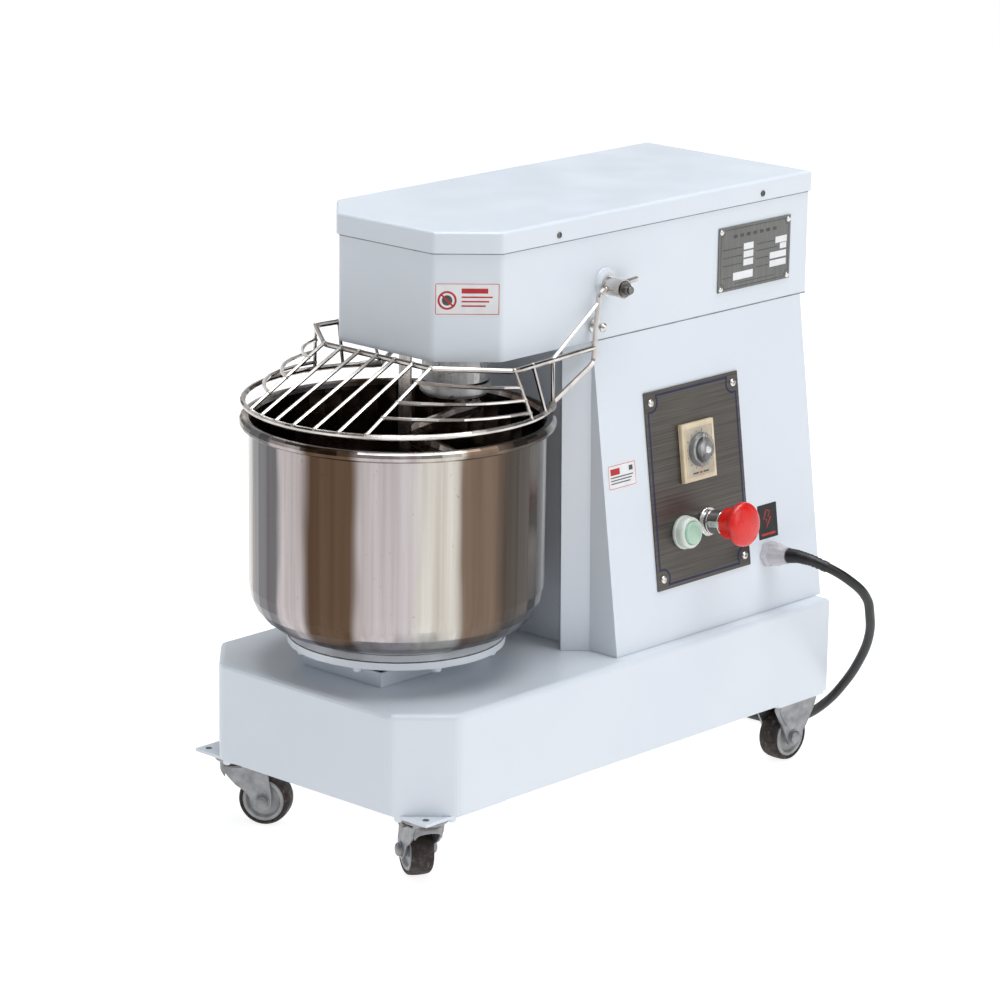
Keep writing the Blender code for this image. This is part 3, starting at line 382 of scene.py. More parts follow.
def turned(profile, segments=40, centre=(0.0, 0.0), lobes=0, depth=0.0):
    """A closed (radius, z) profile turned about the vertical line through centre; lobes flute it."""
    bm = bmesh.new()
    rings = []
    for radius, z in profile:
        if radius < 1e-6:
            rings.append([vert(bm, (*centre, z))])
            continue
        ring = []
        for k in range(segments):
            a = 2 * math.pi * k / segments
            r = radius - depth * (0.5 + 0.5 * math.cos(lobes * a)) if lobes else radius
            ring.append(vert(bm, (centre[0] + r * math.cos(a), centre[1] + r * math.sin(a), z)))
        rings.append(ring)
    for one, two in zip(rings, rings[1:] + rings[:1]):
        for k in range(segments):
            m = (k + 1) % segments
            corners = [one[k % len(one)], one[m % len(one)], two[m % len(two)], two[k % len(two)]]
            face = list(dict.fromkeys(corners))
            if len(face) > 2:
                bm.faces.new(face)
    return bm


def arc(cx, cy, radius, start, end, steps):
    turn = [math.radians(start + (end - start) * k / steps) for k in range(steps + 1)]
    return [(cx + radius * math.cos(a), cy + radius * math.sin(a)) for a in turn]


def swept(points, radii, sides=16):
    """A round body along points, with a radius at each."""
    points = [Vector(p) for p in points]
    normal = None
    rings = []
    for i, here in enumerate(points):
        tangent = (points[min(i + 1, len(points) - 1)] - points[max(i - 1, 0)]).normalized()
        if normal is None:
            normal = tangent.orthogonal()
        normal = (normal - tangent * normal.dot(tangent)).normalized()
        side = tangent.cross(normal)
        angles = [2 * math.pi * k / sides for k in range(sides)]
        rings.append([here + (normal * math.cos(a) + side * math.sin(a)) * radii[i] for a in angles])
    return lofted(rings)


def line_band(points, width, z0, z1, closed=False):
    """A flat printed line of this width along 2-D points."""
    points = [Vector(p) for p in points]
    count = len(points)
    sides = []
    for i, here in enumerate(points):
        before = points[i - 1] if closed or i else here
        after = points[(i + 1) % count] if closed or i < count - 1 else here
        along = (after - before).normalized()
        out = Vector((-along.y, along.x)) * width / 2
        sides.append([(*(here + out), z0), (*(here - out), z0), (*(here - out), z1), (*(here + out), z1)])
    return looped(sides) if closed else lofted(sides)


def rounded_box(half_x, half_y, radius, steps=5):
    corners = ((half_x - radius, half_y - radius, 0), (radius - half_x, half_y - radius, 90),
               (radius - half_x, radius - half_y, 180), (half_x - radius, radius - half_y, 270))
    outline = []
    for x, y, start in corners:
        outline += arc(x, y, radius, start, start + 90, steps)
    return outline


def merged(parts):
    """One bmesh from (bmesh, placement) pairs."""
    whole = bmesh.new()
    for bm, place in parts:
        bm.transform(place)
        mesh = bpy.data.meshes.new("part")
        bm.to_mesh(mesh)
        bm.free()
        whole.from_mesh(mesh)
        bpy.data.meshes.remove(mesh)
    return whole


def at(x, y, z):
    return Matrix.Translation(Vector((x, y, z)) * MM)


def on_side(u, v, w=0.0):
    """The column's leaning +X face: local X runs back, local Y up the slope, local Z out."""
    sin, cos = math.sin(SIDE_TILT), math.cos(SIDE_TILT)
    turn = Matrix(((0, -sin, cos, 0), (1, 0, 0, 0), (0, cos, sin, 0), (0, 0, 0, 1)))
    return at(137.25 - sin * v + cos * w, u, 160.3 + cos * v + sin * w) @ turn


def facing(x, y, z, out, up=(0, 0, 1)):
    """Placement whose local Z points along out, with local Y as near to up as it can be."""
    out = Vector(out).normalized()
    across = Vector(up).cross(out).normalized()
    return at(x, y, z) @ Matrix((across, out.cross(across), out)).transposed().to_4x4()


def piece(name, bm, look, body="frame", place=None, angle=35):
    bmesh.ops.recalc_face_normals(bm, faces=bm.faces)
    bm.transform(PLACE @ (place or STAY))
    mesh = bpy.data.meshes.new(name)
    bm.to_mesh(mesh)
    bm.free()
    mesh.materials.append(LOOKS[look].material)
    mesh.shade_smooth()
    mesh.set_sharp_from_angle(angle=math.radians(angle))
    made = bpy.data.objects.new(name, mesh)
    bpy.context.scene.collection.objects.link(made)
    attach(made, body)
    return made


def softened(made, width, segments=2):
    bevel = made.modifiers.new("edges", "BEVEL")
    bevel.width = width * MM
    bevel.segments = segments
    bevel.limit_method = "ANGLE"
    bevel.angle_limit = math.radians(40)
    return made


def screw(radius, height):
    """A turned pan head: a raised ring round a sunken centre."""
    bm = turned([(0, 0), (radius, 0), (radius, height * 0.35), (radius * 0.93, height * 0.62),
                 (radius * 0.74, height * 0.86), (radius * 0.5, height), (radius * 0.46, height * 0.62),
                 (0, height * 0.5)], 24)
    return bm


# ---------------------------------------------------------------- mains lead

def coil_points():
    """The wound part, from the floor up: out, in, up a layer, and out again to the plug."""
    def smooth(t):
        t = min(max(t, 0.0), 1.0)
        return t * t * (3 - 2 * t)

    points = []
    for k in range(1, 79):
        turn = 1170 * k / 78
        radius = 58.6 - 9.3 * smooth((turn - 265) / 90) + 9.3 * smooth((turn - 850) / 90)
        z = 5.4 + 9.2 * smooth((turn - 580) / 80)
        angle = math.radians(270 - turn)
        points.append(COIL + Vector((radius * math.cos(angle), radius * math.sin(angle), z)) * MM)
    return points


def make_cord():
    curve = bpy.data.curves.new("mains_lead", "CURVE")
    curve.dimensions = "3D"
    curve.bevel_depth = CORD * MM
    curve.bevel_resolution = 5
    curve.use_fill_caps = True
    curve.resolution_u = 5
    route = [Vector(p) for p in CORD_ROUTE]
    start = COIL + Vector((0, -58.6, 5.4)) * MM
    end = PLUG_TAIL + Vector((0, 2, 0)) * MM
    wound = coil_points()
    points = [*route, start, *wound, wound[-1].lerp(end, 0.5) - Vector((0, 0, 0.2)) * MM, end]
    spline = curve.splines.new("BEZIER")
    spline.bezier_points.add(len(points) - 1)
    for spot, point in zip(spline.bezier_points, points):
        spot.co = point
        spot.handle_left_type = spot.handle_right_type = "AUTO"
    curve.materials.append(LOOKS["black_cable"].material)
    lead = bpy.data.objects.new("mains_lead", curve)
    bpy.context.scene.collection.objects.link(lead)
    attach(lead, "frame")
    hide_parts("power_cord", "cord_coil")

    relief_path, radii = [], []
    for k in range(25):
        t = k / 24 * 2.9
        i = min(int(t), 2)
        a, b = route[i], route[i + 1]
        relief_path.append(a.lerp(b, t - i) / MM)
        taper = 7.1 - 2.0 * k / 24
        radii.append(taper - (0.55 if k % 2 and k < 22 else 0.0))
    bm = swept(relief_path, radii, 20)
    relief = piece("gland_relief", bm, "black_cable", place=PLACE.inverted(), angle=60)

    tail = PLUG_TAIL / MM
    profile = [(0, 0), (5.4, 0)]
    for k in range(7):
        z = 2.5 + 2.6 * k
        profile += [(5.5 + 0.35 * k, z), (5.0 + 0.35 * k, z + 0.8), (5.0 + 0.35 * k, z + 1.6)]
    profile += [(8.2, 21), (12.0, 24), (15.0, 29), (15.6, 34), (15.6, 49), (14.8, 52), (13.2, 54), (0, 54)]
    along = Matrix.Translation(tail * MM) @ Matrix.Rotation(-math.pi / 2, 4, "X")
    parts = [(turned(profile, 40), along)]
    for angle in range(0, 360, 30):
        turn = Matrix.Rotation(math.radians(angle), 4, "Z")
        parts.append((block(14.9, 15.95, -1.1, 1.1, 31, 47), along @ turn))
    plug = piece("plug_body", merged(parts), "black_cable", place=PLACE.inverted())
    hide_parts("mains_plug")
    pins = [(turned([(0, 52), (2.4, 52), (2.4, 72.5), (1.6, 74.6), (0, 75)], 20, (x, 0)),
             along) for x in (-9.5, 9.5)]
    plug_pins = piece("plug_pins", merged(pins), "bright_zinc", place=PLACE.inverted())

    section = [(43.6 + dx, dz) for dx, dz in ((0.4, 3), (3, 0.2), (18.5, 0.2), (20.4, 3), (20.4, 17),
                                              (18.5, 20),
                                              (3, 20), (0.4, 17))]
    wrap = [(44.4 + dx, dz) for dx, dz in ((0.4, 3.4), (2.6, 0.85), (17.3, 0.85), (18.8, 3.4), (18.8, 16.6),
                                           (17.3, 19.2), (2.6, 19.2), (0.4, 16.6))]
    rings = [[(x, -5, z) for x, z in section], [(x, 5, z) for x, z in section],
             [(x, 5, z) for x, z in wrap], [(x, -5, z) for x, z in wrap]]
    turn = Matrix.Translation(COIL) @ Matrix.Rotation(math.radians(24), 4, "Z")
    tie = piece("coil_tie", looped(rings), "belt_rubber", place=PLACE.inverted() @ turn)


# ---------------------------------------------------------------- controls and labels

def notched_border(half_x, half_y, hole_x, hole_y, radius, width, z0, z1):
    """A printed line round a plate that curves inward round the screw at each corner."""
    reach_x = math.sqrt(radius ** 2 - (half_y - hole_y) ** 2)
    reach_y = math.sqrt(radius ** 2 - (half_x - hole_x) ** 2)
    start = math.degrees(math.atan2(-reach_y, half_x - hole_x))
    end = math.degrees(math.atan2(half_y - hole_y, -reach_x)) - 360
    corner = arc(hole_x, hole_y, radius, start, end, 12)
    outline = []
    for sx, sy in ((1, 1), (-1, 1), (-1, -1), (1, -1)):
        points = [(sx * x, sy * y) for x, y in corner]
        outline += points if sx * sy > 0 else reversed(points)
    return line_band(outline, width, z0, z1, closed=True)


def bar(x0, x1, y0, y1, z0, z1):
    return block(x0, x1, y0, y1, z0, z1), STAY


def make_panel():
    place = on_side(288.0, 140.5)
    piece("panel_border", notched_border(61.3, 87.3, 57.5, 81.5, 9.0, 2.0, 1.45, 1.58), "navy_ink",
          place=place)
    heads = [(screw(3.7, 2.3), at(sx * 57.5, sy * 81.5, 1.45)) for sx in (-1, 1) for sy in (-1, 1)]
    piece("panel_screws", merged(heads), "bright_zinc", place=place)

    place = on_side(287.5, 168.5)
    card = prism(rounded_box(18.2, 22.6, 1.5), 6.3, 6.52)
    piece("timer_card", card, "dial_card", place=place)
    piece("timer_card_rim", line_band(rounded_box(18.6, 23.0, 1.6), 0.9, 6.3, 7.0, closed=True),
          "cream_plastic",
          place=place)
    ticks = []
    for k in range(13):
        angle = math.radians(-60 - 300 * k / 12)
        long = 2.6 if k % 3 == 0 else 1.6
        ticks.append((block(16.6, 16.6 + long, -0.3, 0.3, 6.5, 6.6),
                      at(0, 1.5, 0) @ Matrix.Rotation(angle, 4, "Z")))
    ticks += [bar(-11, -3.2, -20.4, -19.0, 6.5, 6.6), bar(3.2, 11, -20.4, -19.0, 6.5, 6.6)]
    piece("timer_marks", merged(ticks), "dull_ink", place=place)
    piece("timer_pointer_mark", merged([bar(-1.5, 1.5, -20.6, -18.8, 6.5, 6.62)]), "red_ink",
          place=place)

    place = on_side(287.5, 170.0)
    skirt = turned([(0, 6.8), (15.6, 6.8), (16.0, 7.3), (16.0, 9.6), (15.2, 11.4), (13.4, 12.6), (12.2, 12.4),
                    (12.0, 9.4), (0, 9.2)], 64, lobes=32, depth=0.25)
    outline = arc(-9.5, 0, 15.0, -48, 48, 14) + arc(9.5, 0, 15.0, 132, 228, 14)
    lens = [(y, x) for x, y in outline]
    grip = lofted([[(x * s, y * s, z) for y, x in lens] for z, s in ((9.2, 1.0), (14.5, 0.97), (16.4, 0.92),
                                                                     (17.1, 0.82))])
    knob = piece("timer_knob_moulding", merged([(skirt, STAY), (grip, STAY)]),
                 "clear_knob", "timer_knob", place)
    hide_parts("timer_knob")
    piece("timer_knob_insert", turned([(11.7, 9.25), (11.7, 9.7), (6.2, 9.7), (6.2, 9.25)], 48), "dull_ink",
          "timer_knob", place)
    cap = merged([(turned([(0, 17.0), (3.4, 17.0), (3.1, 17.7), (0, 18.0)], 28), STAY),
                  bar(-0.6, 0.6, 6.0, 14.8, 12.4, 13.0)])
    piece("timer_knob_cap", cap, "bright_zinc", "timer_knob", place)

    place = on_side(262.5, 97.0)
    bezel = piece("start_collar", turned([(10.8, 1.6), (15.3, 1.6), (15.5, 2.4), (15.5, 4.2), (14.7, 4.8),
                                          (14.6, 9.6),
                                          (14.2, 11.4), (13.2, 12.6), (11.6, 13.0), (10.8, 12.4)], 56),
                  "bezel_plastic", place=place)
    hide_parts("start_bezel")
    cap = piece("start_cap", turned([(0, 5.8), (10.4, 5.8), (10.4, 14.0), (9.8, 15.0), (8.9, 15.3),
                                     (8.3, 14.8),
                                     (7.6, 14.2), (4.0, 14.5), (0, 14.6)], 56), "mint_button",
                "start_button", place)
    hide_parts("start_button")

    place = on_side(297.0, 100.5)
    nut = turned([(11.2, 1.6), (13.2, 1.6), (13.6, 2.2), (13.6, 3.4), (13.0, 4.0), (11.2, 4.0)], 60,
                 lobes=20, depth=0.4)
    piece("estop_nut", nut, "bright_zinc", place=place)
    rings = [(turned([(11.05, z), (11.35, z + 0.3), (11.35, z + 0.9), (11.05, z + 1.2)], 48), STAY)
             for z in (8.0, 21.0)]
    piece("estop_rings", merged(rings), "chrome_barrel", place=place)
    head = piece("estop_head", turned([(0, 35.7), (11.5, 35.7), (11.5, 26.0), (13.8, 26.0), (14.6, 26.7),
                                       (14.8, 33.0),
                                       (14.9, 36.2), (15.5, 38.4), (17.3, 40.3), (19.5, 41.5), (20.4, 42.9),
                                       (20.5, 45.2), (20.0, 47.0), (18.7, 48.6), (15.8, 50.0), (10.5, 51.0),
                                       (5.0, 51.4), (0, 51.5)], 64), "red_mushroom",
                                       "estop_button", place)
    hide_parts("estop_button")

    place = on_side(381.0, 53.5)
    hexes = turned([(0, 0.35), (12.3, 0.35), (12.5, 0.9), (12.5, 6.0), (11.7, 7.0), (0, 7.0)], 6)
    dome = turned([(0, 6.9), (10.6, 6.9), (10.7, 7.6), (10.7, 14.6), (9.9, 17.0), (8.7, 19.6), (8.2, 22.5),
                   (8.0, 24.8), (7.2, 25.0), (0, 25.0)], 72, lobes=12, depth=0.55)
    gland = piece("gland_nuts", merged([(hexes, STAY), (dome, STAY)]), "grey_nylon",
                  place=place)
    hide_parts("cable_gland")


def make_labels():
    place = on_side(187.0, 163.5)
    piece("side_label", prism(rounded_box(19.0, 11.5, 1.0), 0.05, 0.16), "label_white",
          place=place)
    parts = [(line_band(rounded_box(17.9, 10.4, 0.6), 0.5, 0.15, 0.2, closed=True), STAY),
             bar(-15.5, -3.0, 1.8, 7.6, 0.15, 0.2)]
    piece("side_label_red", merged(parts), "red_ink", place=place)
    piece("side_label_lines", merged([bar(-15.5, 14.5 - 2 * k, -0.9 - 2.7 * k, 0.1 - 2.7 * k, 0.15, 0.2)
                                      for k in range(3)] + [bar(9.5, 14.5, 3.2, 7.6, 0.15, 0.2)]),
          "dull_ink", place=place)

    place = on_side(383.8, 84.3)
    piece("outlet_label", prism(rounded_box(13.8, 16.2, 1.0), 0.05, 0.18), "label_black",
          place=place)
    flash = [(-1.5, 11.0), (-5.5, 2.6), (-1.4, 2.0), (-3.0, -6.5), (4.8, 3.6), (0.8, 4.2), (3.4, 9.0)]
    parts = [(line_band(flash, 1.1, 0.17, 0.23, closed=True), STAY),
             bar(-10.0, 10.0, -13.2, -11.2, 0.17, 0.23)]
    piece("outlet_label_mark", merged(parts), "red_ink", place=place)

    place = facing(78.5, 21.5, 503.5, (1, -1, 0))
    piece("head_label", prism(rounded_box(28.6, 14.6, 1.0), 0.05, 0.16), "label_white",
          place=place)
    ring = [(x - 17.5, y - 1.2) for x, y in arc(0, 0, 7.4, 0, 352.5, 47)]
    parts = [(line_band(rounded_box(27.4, 13.4, 0.6), 0.6, 0.15, 0.2, closed=True), STAY),
             (line_band(ring, 1.8, 0.15, 0.2, closed=True), STAY),
             (line_band([(-22.4, 3.7), (-12.6, -6.1)], 1.6, 0.15, 0.2), STAY),
             bar(-5.0, 18.0, 5.0, 9.4, 0.15, 0.2)]
    parts += [bar(-5.0, 22.0 - 3 * k, 1.0 - 3.9 * k, 2.4 - 3.9 * k, 0.15, 0.2) for k in range(3)]
    piece("head_label_red", merged(parts), "red_ink", place=place)
    disc = turned([(0, 0.14), (4.6, 0.14), (4.6, 0.18), (0, 0.18)], 32, (-17.5, -1.2))
    piece("head_label_disc", disc, "dull_ink", place=place)


def make_nameplate():
    place = facing(101.3, 383.5, 495.0, (1, 0, 0))
    piece("nameplate_border", notched_border(48.6, 27.4, 47.6, 26.4, 4.2, 0.8, -0.05, 0.06), "dull_ink",
          place=place)
    rivets = [(turned([(0, -0.1), (2.9, -0.1), (2.8, 0.6), (2.1, 1.3), (1.0, 1.6), (0, 1.65)], 24),
               at(sx * 48.0, sy * 26.6, 0)) for sx in (-1, 1) for sy in (-1, 1)]
    piece("nameplate_rivets", merged(rivets), "bright_zinc", place=place)

    def spot(u, v):
        return -51.5 + 103 * u, 30 - 60 * v

    fields = [(0.345, 0.48, 0.35, 0.10), (0.345, 0.48, 0.475, 0.10), (0.345, 0.48, 0.60, 0.10),
              (0.205, 0.48, 0.79, 0.12), (0.79, 0.95, 0.355, 0.10), (0.855, 0.945, 0.46, 0.09),
              (0.715, 0.945, 0.585, 0.10), (0.715, 0.945, 0.715, 0.10)]
    whites, strokes = [], []
    for u0, u1, v, height in fields:
        (x0, y), (x1, _) = spot(u0, v), spot(u1, v)
        whites.append(bar(x0, x1, y - 30 * height, y + 30 * height, -0.05, 0.07))
        left = 0.055 if u1 < 0.5 else 0.525
        start = spot(left, v)[0]
        strokes.append(bar(start, x0 - 2.0, y - 0.45, y + 0.45, -0.05, 0.06))
    strokes += [bar(-31 + 9.4 * k, -25.5 + 9.4 * k, 18.6, 21.8, -0.05, 0.06) for k in range(7)]
    strokes.append(bar(-28, 28, -24.2, -23.5, -0.05, 0.06))
    piece("nameplate_fields", merged(whites), "label_white", place=place)
    piece("nameplate_strokes", merged(strokes), "dull_ink", place=place)


# ---------------------------------------------------------------- casing details

def make_fasteners():
    heads = []
    for side in (-1, 1):
        heads += [(screw(2.9, 1.5), facing(side * 101.75, y, 550.5, (side, 0, 0))) for y in (113.0, 392.0)]
        heads.append((screw(2.9, 1.5), facing(side * 62.0, 462.75, 551.5, (0, 1, 0))))
    piece("lid_screws", merged(heads), "dark_steel")

    # Painted shadow: thin dark strips under the lid's skirt and along the head's lower edge over the column,
    # where shade falls.
    outline = [(100, 461), (-100, 461), (-100, 43), (-57, 0), (57, 0), (100, 43)]
    seams = [(line_band(outline, 0.4, 542.7, 543.9, closed=True), STAY)]
    seams += [bar(side * 100.1 - 0.15, side * 100.1 + 0.15, 160, 461, 446.6, 447.5) for side in (-1, 1)]
    piece("casing_painted_shadows", merged(seams), "seam_shadow")

    heads = []
    for z in (184.0, 305.0, 426.0):
        x = 137.25 - (z - 160.3) * math.tan(SIDE_TILT) - 17
        heads += [(screw(3.6, 2.2), facing(side * x, 455.35, z, (0, 1, 0))) for side in (-1, 1)]
    piece("rear_cover_screws", merged(heads), "bright_zinc")

    hoods = []
    for row in range(6):
        for side in (-1, 1):
            rings = []
            for share, height, rise in ((-1.0, 0.4, 0.05), (-0.92, 2.4, 1.8), (0.92, 2.4, 1.8),
                                        (1.0, 0.4, 0.05)):
                x = side * 36 + share * 27
                profile = [(-3.0, 0), (-3.0 + 0.2, rise * 0.9), (-1.0, rise * 1.15), (height, rise * 0.35),
                           (height + 0.6, 0)]
                rings.append([(x, 455.3 + out, 236 + 11 * row + up) for up, out in profile])
            hoods.append((lofted(rings), STAY))
    piece("rear_louvres", merged(hoods), "white_enamel")

    for side, name in ((1, "right"), (-1, "left")):
        bolts = []
        for x, y in ((108.0, -89.5), (141.0, -56.5), (129.0, -43.5), (96.0, -76.5)):
            dome = turned([(0, 60.3), (2.2, 60.5), (3.3, 61.3), (3.7, 62.6), (3.7, 65.25), (0, 65.25)], 24)
            bolts.append((dome, at(side * x, y, 0)))
        piece(f"front_plate_bolts_{name}", merged(bolts), "white_enamel")
    holes = [(turned([(0, 67.9), (3.0, 67.9), (2.9, 68.3), (1.6, 68.5), (0, 68.1)], 20),
              at(side * 137.0, -85.0, 0))
             for side in (-1, 1)]
    piece("plate_corner_screws", merged(holes), "dark_steel")

    seal = turned([(13.0, 407.7), (28.4, 407.7), (28.9, 408.0), (28.9, 408.7), (28.4, 408.9),
                   (13.0, 408.9)], 48,
                  SPINDLE_AXIS)
    piece("spindle_seal", seal, "belt_rubber")
    skin = turned([(28.3, 395.9), (28.7, 395.7), (31.8, 398.8), (31.8, 406.4), (31.3, 407.2),
                   (31.3, 399.0)], 56,
                  SPINDLE_AXIS)
    piece("shield_skin", skin, "machined", "spindle")
    heads = []
    for k in range(4):
        angle = math.radians(45 + 90 * k)
        bolt = turned([(0, 432.4), (3.0, 432.4), (3.3, 432.9), (3.3, 435.7), (0, 435.7)], 6)
        heads.append((bolt, at(34.2 * math.cos(angle), SPINDLE_AXIS[1] + 34.2 * math.sin(angle), 0)))
    piece("housing_bolts", merged(heads), "dark_steel")

    lugs = []
    for k in range(8):
        angle = math.radians(22.5 + 45 * k)
        lug = turned([(0, 176.2), (3.4, 176.2), (4.4, 177.0), (4.6, 181.1), (0, 181.1)], 20)
        lugs.append((lug, at(90.5 * math.cos(angle), BOWL_AXIS[1] + 90.5 * math.sin(angle), 0)))
    piece("turntable_lugs", merged(lugs), "white_enamel", "bowl")
    joint = turned([(94.0, 187.45), (98.15, 187.45), (98.15, 188.55), (94.0, 188.55)], 72, BOWL_AXIS)
    piece("turntable_seam", joint, "dull_ink", "bowl")


# ---------------------------------------------------------------- guard details

def make_guard_details():
    """Weld beads where wires meet, the sleeves at the ring's ends, and the pivots' washers."""
    def ring_x(y):
        return math.sqrt(RING_RADIUS ** 2 - (y - BOWL_AXIS[1]) ** 2)

    def frame_x(y):
        (corner_x, corner_y), (rear_x, rear_y) = SIDE_CORNER, FRAME_REAR
        return corner_x + (rear_x - corner_x) * (y - corner_y) / (rear_y - corner_y)

    spots = []
    bars = []
    for i in range(7):
        x = FRAME_FRONT_X * (1 - 2 * i / 6)
        foot = x * 1.02 + 8
        foot_y = BOWL_AXIS[1] - math.sqrt(RING_RADIUS ** 2 - foot ** 2)
        bars.append(((x, FRAME_FRONT, FRAME_TOP_Z), (foot, foot_y, RING_TOP_Z)))
    spots += [end for pair in bars for end in pair]
    for side, corner in ((1, bars[0]), (-1, bars[-1])):
        first = (side * SIDE_CORNER[0], SIDE_CORNER[1], FRAME_TOP_Z), (side * ring_x(46.0), 46.0, RING_TOP_Z)
        spots += first
        for top, low in ((62.0, 73.0), (91.6, 103.0)):
            spots += [(side * frame_x(top), top, FRAME_TOP_Z), (side * ring_x(low), low, RING_TOP_Z)]
        spots += [(side * BRACE_END[0], *BRACE_END[1:]),
                  (side * FRAME_REAR[0], FRAME_REAR[1], FRAME_TOP_Z - 1.0)]
        for on_corner, on_first in ((0.22, 0.36), (0.52, 0.62), (0.75, 0.88)):
            spots.append(Vector(corner[0]).lerp(Vector(corner[1]), on_corner))
            spots.append(Vector(first[0]).lerp(Vector(first[1]), on_first))
    beads = []
    for k, spot in enumerate(spots):
        bm = bmesh.new()
        bmesh.ops.create_icosphere(bm, subdivisions=2, radius=2.35 * MM)
        stretch = Matrix.Diagonal((1.0 + 0.12 * math.sin(k * 2.4), 1.0 + 0.14 * math.cos(k * 1.7), 0.92, 1))
        beads.append((bm, at(*spot) @ Matrix.Rotation(k * 1.1, 4, "Z") @ stretch))
    piece("guard_welds", merged(beads), "weld", "guard", angle=60)

    sleeves = []
    for side in (1, -1):
        path, radii = [], []
        for k in range(9):
            angle = math.radians(39.4 - 8.5 * k / 8)
            x, y = RING_RADIUS * math.cos(angle), BOWL_AXIS[1] + RING_RADIUS * math.sin(angle)
            path.append((side * x, y, RING_Z))
            radii.append(2.6 + 1.0 * math.sin(math.pi * (0.12 + 0.76 * k / 8)))
        sleeves.append((swept(path, radii, 14), STAY))
    piece("guard_sleeves", merged(sleeves), "weld", "guard")

    for side, name in ((1, "right"), (-1, "left")):
        place = facing(side * 104.8, PIVOT.y, PIVOT.z, (side, 0, 0))
        parts = [(turned([(5.0, 0.02), (9.4, 0.02), (9.6, 0.4), (9.6, 1.4), (5.0, 1.4)], 36), STAY),
                 (turned([(5.0, 17.6), (8.5, 17.6), (8.7, 18.0), (8.7, 19.2), (5.0, 19.2)], 36), STAY)]
        piece(f"hub_collars_{name}", merged(parts), "stainless_wire", "guard", place)
        nut = turned([(0, 6.2), (3.0, 6.2), (3.4, 6.8), (3.2, 7.9), (0, 8.1)], 24)
        piece(f"pivot_stud_{name}", nut, "dark_steel", "guard",
              facing(side * 124.3, PIVOT.y, PIVOT.z, (side, 0, 0)))


# ---------------------------------------------------------------- casters

def make_wheel(name, body, place):
    hub_side = [(3.3, -10.3), (6.9, -10.3), (7.6, -9.6), (7.6, -7.6), (10.5, -7.3), (14.6, -7.3),
                (15.6, -9.4),
                (16.4, -10.3), (18.4, -10.4), (19.5, -9.6)]
    hub = turned(hub_side + [(r, -z) for r, z in reversed(hub_side)], 48)
    made = piece(f"{name}_hub", hub, "hub", body, place)
    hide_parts(name)
    tread_side = [(19.5, -9.7), (20.4, -10.4), (21.9, -10.3), (23.0, -9.2), (23.6, -7.0), (23.9, -3.5)]
    tread = turned(tread_side + [(24.0, 0)] + [(r, -z) for r, z in reversed(tread_side)], 56)
    piece(f"{name}_tread", tread, "caster_tread", body, place)


def axle_heads(x, y):
    """Domed axle heads on washers, just outside fork plates whose outer faces are at +y and -y."""
    parts = []
    for side in (1, -1):
        head = turned([(0, 0), (7.4, 0), (7.4, 0.9), (6.2, 1.0), (6.1, 3.0), (5.0, 4.2), (2.5, 4.8),
                       (0, 4.9)], 32)
        turn = Matrix.Rotation(-side * math.pi / 2, 4, "X")
        parts.append((head, at(x, side * y, WHEEL_Z) @ turn))
    return parts


def front_fork(name, body, place):
    """A pressed swivel fork: race, crown, two legs and an arched front web."""
    parts = [(turned([(0, 58.4), (17.0, 58.4), (20.6, 59.4), (21.4, 61.0), (21.4, 62.4), (19.0, 64.6),
                      (0, 64.7)], 48),
              STAY)]
    legs = [(-31, 58.4), (-34.5, 40), (-36, 29), *arc(-27, 24, 9, 186, 330, 8), (-12, 31.5), (-2, 37.5),
            (4, 43.5),
            (9, 49.5), (12, 58.4)]
    for y in (-14.1, 11.9):
        parts.append((lofted([[(x, yy, z) for x, z in legs] for yy in (y, y + 2.2)]), STAY))
    crown = rounded_box(22.4, 14.1, 4.0)
    parts.append((prism([(x - 9.5, y) for x, y in crown], 56.2, 58.5), STAY))
    columns = []
    for k in range(17):
        t = -1 + 2 * k / 16
        angle = t * math.pi / 2
        x, y = 8.5 + 7.5 * math.cos(angle), 13.0 * math.sin(angle)
        low = 51.5 - 7.5 * t * t
        inner = (x - 1.9 * math.cos(angle), y - 1.9 * math.sin(angle))
        columns.append([(x - 1.5, y * 0.98, 58.4), (x, y, 55.5), (x, y, low), (*inner, low), (*inner, 55.5),
                        (inner[0] - 1.5, inner[1], 58.4)])
    parts.append((lofted(columns), STAY))
    made = softened(piece(f"{name}_pressing", merged(parts), "zinc_plate", body, place), 0.5)
    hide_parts(name)
    piece(f"{name}_axle", merged(axle_heads(-27.0, 14.0)), "zinc_plate", body, place)
    ring = turned([(14.0, 54.6), (15.8, 54.6), (16.6, 55.4), (16.6, 56.3), (14.0, 56.3)], 40)
    piece(f"{name}_king_pin", merged([(ring, STAY),
                                      (turned([(0, 54.2), (5.6, 54.2), (6.4, 55.0), (6.4, 56.3), (0, 56.3)],
                                              28),
                                       STAY)]), "dark_steel", body, place)
    tab = [(-16.0, 57.5), (-19.5, 54.5), (-19.0, 50.5), (-9.0, 50.5), (-5.0, 54.5), (-6.5, 57.5)]
    brake = lofted([[(x, y, z) for x, z in tab] for y in (-19.2, -14.4)])
    softened(piece(f"{name}_brake", brake, "dark_steel", body, place), 0.8)


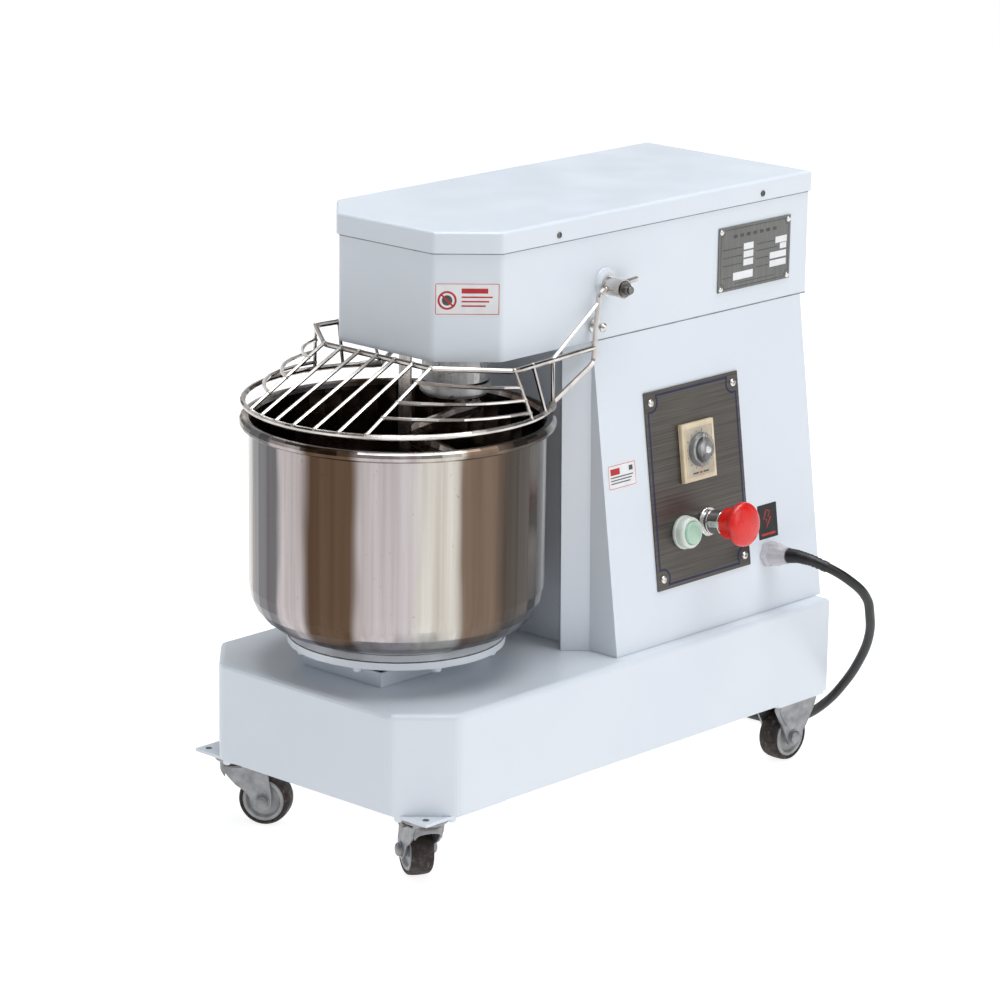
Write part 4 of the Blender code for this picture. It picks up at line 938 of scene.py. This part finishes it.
def make_casters():
    lie = Matrix.Rotation(math.pi / 2, 4, "X")
    for name, side in (("right", 1), ("left", -1)):
        turn = math.radians(-29 if side > 0 else 209)
        place = at(side * 118.5, -66.5, 0) @ Matrix.Rotation(turn, 4, "Z")
        front_fork(f"front_fork_{name}", f"front_fork_{name}", place)
        make_wheel(f"front_wheel_{name}", f"front_wheel_{name}", place @ at(-27.0, 0, WHEEL_Z) @ lie)

        place = at(side * 121.0, 423.0, 0) @ Matrix.Rotation(math.pi / 2, 4, "Z")
        piece(f"rear_axle_heads_{name}", merged(axle_heads(0.0, 14.0)), "zinc_plate", "frame",
              place)
        ribs = []
        for y in (-14.0, 14.0):
            ribs.append((swept([(-22, y, 63), (-20.5, y, 52), (-13, y, 41), (-8.5, y, 35.5)],
                               (0.5, 1.3, 1.3, 0.5), 10),
                         STAY))
        piece(f"rear_fork_ribs_{name}", merged(ribs), "zinc_plate", "frame", place)
        make_wheel(f"rear_wheel_{name}", f"rear_wheel_{name}", place @ at(0, 0, WHEEL_Z) @ lie)


# ---------------------------------------------------------------- stage

def area_light(name, location, aim, size, power, colour=(1, 1, 1)):
    data = bpy.data.lights.new(name, "AREA")
    data.shape = "RECTANGLE"
    data.size, data.size_y = size
    data.energy = power
    data.color = colour
    light = bpy.data.objects.new(name, data)
    bpy.context.scene.collection.objects.link(light)
    light.location = location
    light.rotation_euler = (Vector(aim) - Vector(location)).to_track_quat("-Z", "Y").to_euler()


def make_stage():
    bm = bmesh.new()
    for x, y in ((-14, -14), (14, -14), (14, 14), (-14, 14)):
        bm.verts.new((x, y, 0))
    bm.faces.new(bm.verts)
    mesh = bpy.data.meshes.new("floor")
    bm.to_mesh(mesh)
    bm.free()
    look = Look("studio_floor", (0.38, 0.38, 0.38), 0.8, Emission_Color=(1, 1, 1, 1), Emission_Strength=0.86)
    look.cloud(1.5, (0.375, 0.375, 0.375), (0.385, 0.385, 0.385))
    mesh.materials.append(look.material)
    floor = bpy.data.objects.new("floor", mesh)
    bpy.context.scene.collection.objects.link(floor)

    world = bpy.data.worlds.new("studio")
    bpy.context.scene.world = world
    world.use_nodes = True
    nodes, links = world.node_tree.nodes, world.node_tree.links
    background = nodes["Background"]
    place = nodes.new("ShaderNodeTexCoord")
    mapping = nodes.new("ShaderNodeMapping")
    mapping.inputs["Scale"].default_value = (2.4, 2.4, 0.35)
    pattern = nodes.new("ShaderNodeTexNoise")
    pattern.inputs["Scale"].default_value = 1.0
    pattern.inputs["Detail"].default_value = 1.0
    ramp = nodes.new("ShaderNodeValToRGB")
    ramp.color_ramp.elements[0].position, ramp.color_ramp.elements[0].color = 0.42, (0.045, 0.038, 0.034, 1)
    ramp.color_ramp.elements[1].position, ramp.color_ramp.elements[1].color = 0.60, (0.82, 0.82, 0.83, 1)
    path = nodes.new("ShaderNodeLightPath")
    mix = nodes.new("ShaderNodeMix")
    mix.data_type = "RGBA"
    mix.inputs[6].default_value = (0.24, 0.25, 0.27, 1)
    links.new(place.outputs["Generated"], mapping.inputs["Vector"])
    links.new(mapping.outputs[0], pattern.inputs["Vector"])
    links.new(pattern.outputs["Fac"], ramp.inputs["Fac"])
    links.new(path.outputs["Is Glossy Ray"], mix.inputs[0])
    links.new(ramp.outputs["Color"], mix.inputs[7])
    backdrop = nodes.new("ShaderNodeMix")
    backdrop.data_type = "RGBA"
    backdrop.inputs[7].default_value = (1.0, 1.0, 1.0, 1)
    links.new(path.outputs["Is Camera Ray"], backdrop.inputs[0])
    links.new(mix.outputs[2], backdrop.inputs[6])
    links.new(backdrop.outputs[2], background.inputs["Color"])

    area_light("key", (3.2, 0.5, 1.7), (0, 0, 0.25), (2.2, 2.2), 25)
    area_light("top", (0.2, 0.3, 3.2), (0, 0, 0.3), (2.6, 2.6), 88, (0.93, 0.97, 1.0))
    area_light("fill", (-2.6, -2.4, 1.6), (0, 0, 0.25), (1.8, 1.8), 4)
    bpy.context.scene.view_settings.view_transform = "Standard"


LOOKS = make_looks()
make_camera()
make_cord()
make_stage()

OWN_LOOK = {"bowl_shell": "bowl", "spindle_housing": "machined", "guard_pivot_bolt_right": "dark_steel",
            "guard_pivot_bolt_left": "dark_steel",
            "guard_stop_right": "bright_zinc", "guard_stop_left": "bright_zinc"}
for part in frame["record"]["subparts"]:
    node = frame["nodes"][part["node"]]
    look = OWN_LOOK.get(part["node"], part["material_slot"])
    node.data.materials.clear()
    node.data.materials.append(LOOKS[look].material)

make_panel()
make_labels()
make_nameplate()
make_fasteners()
make_guard_details()
make_casters()
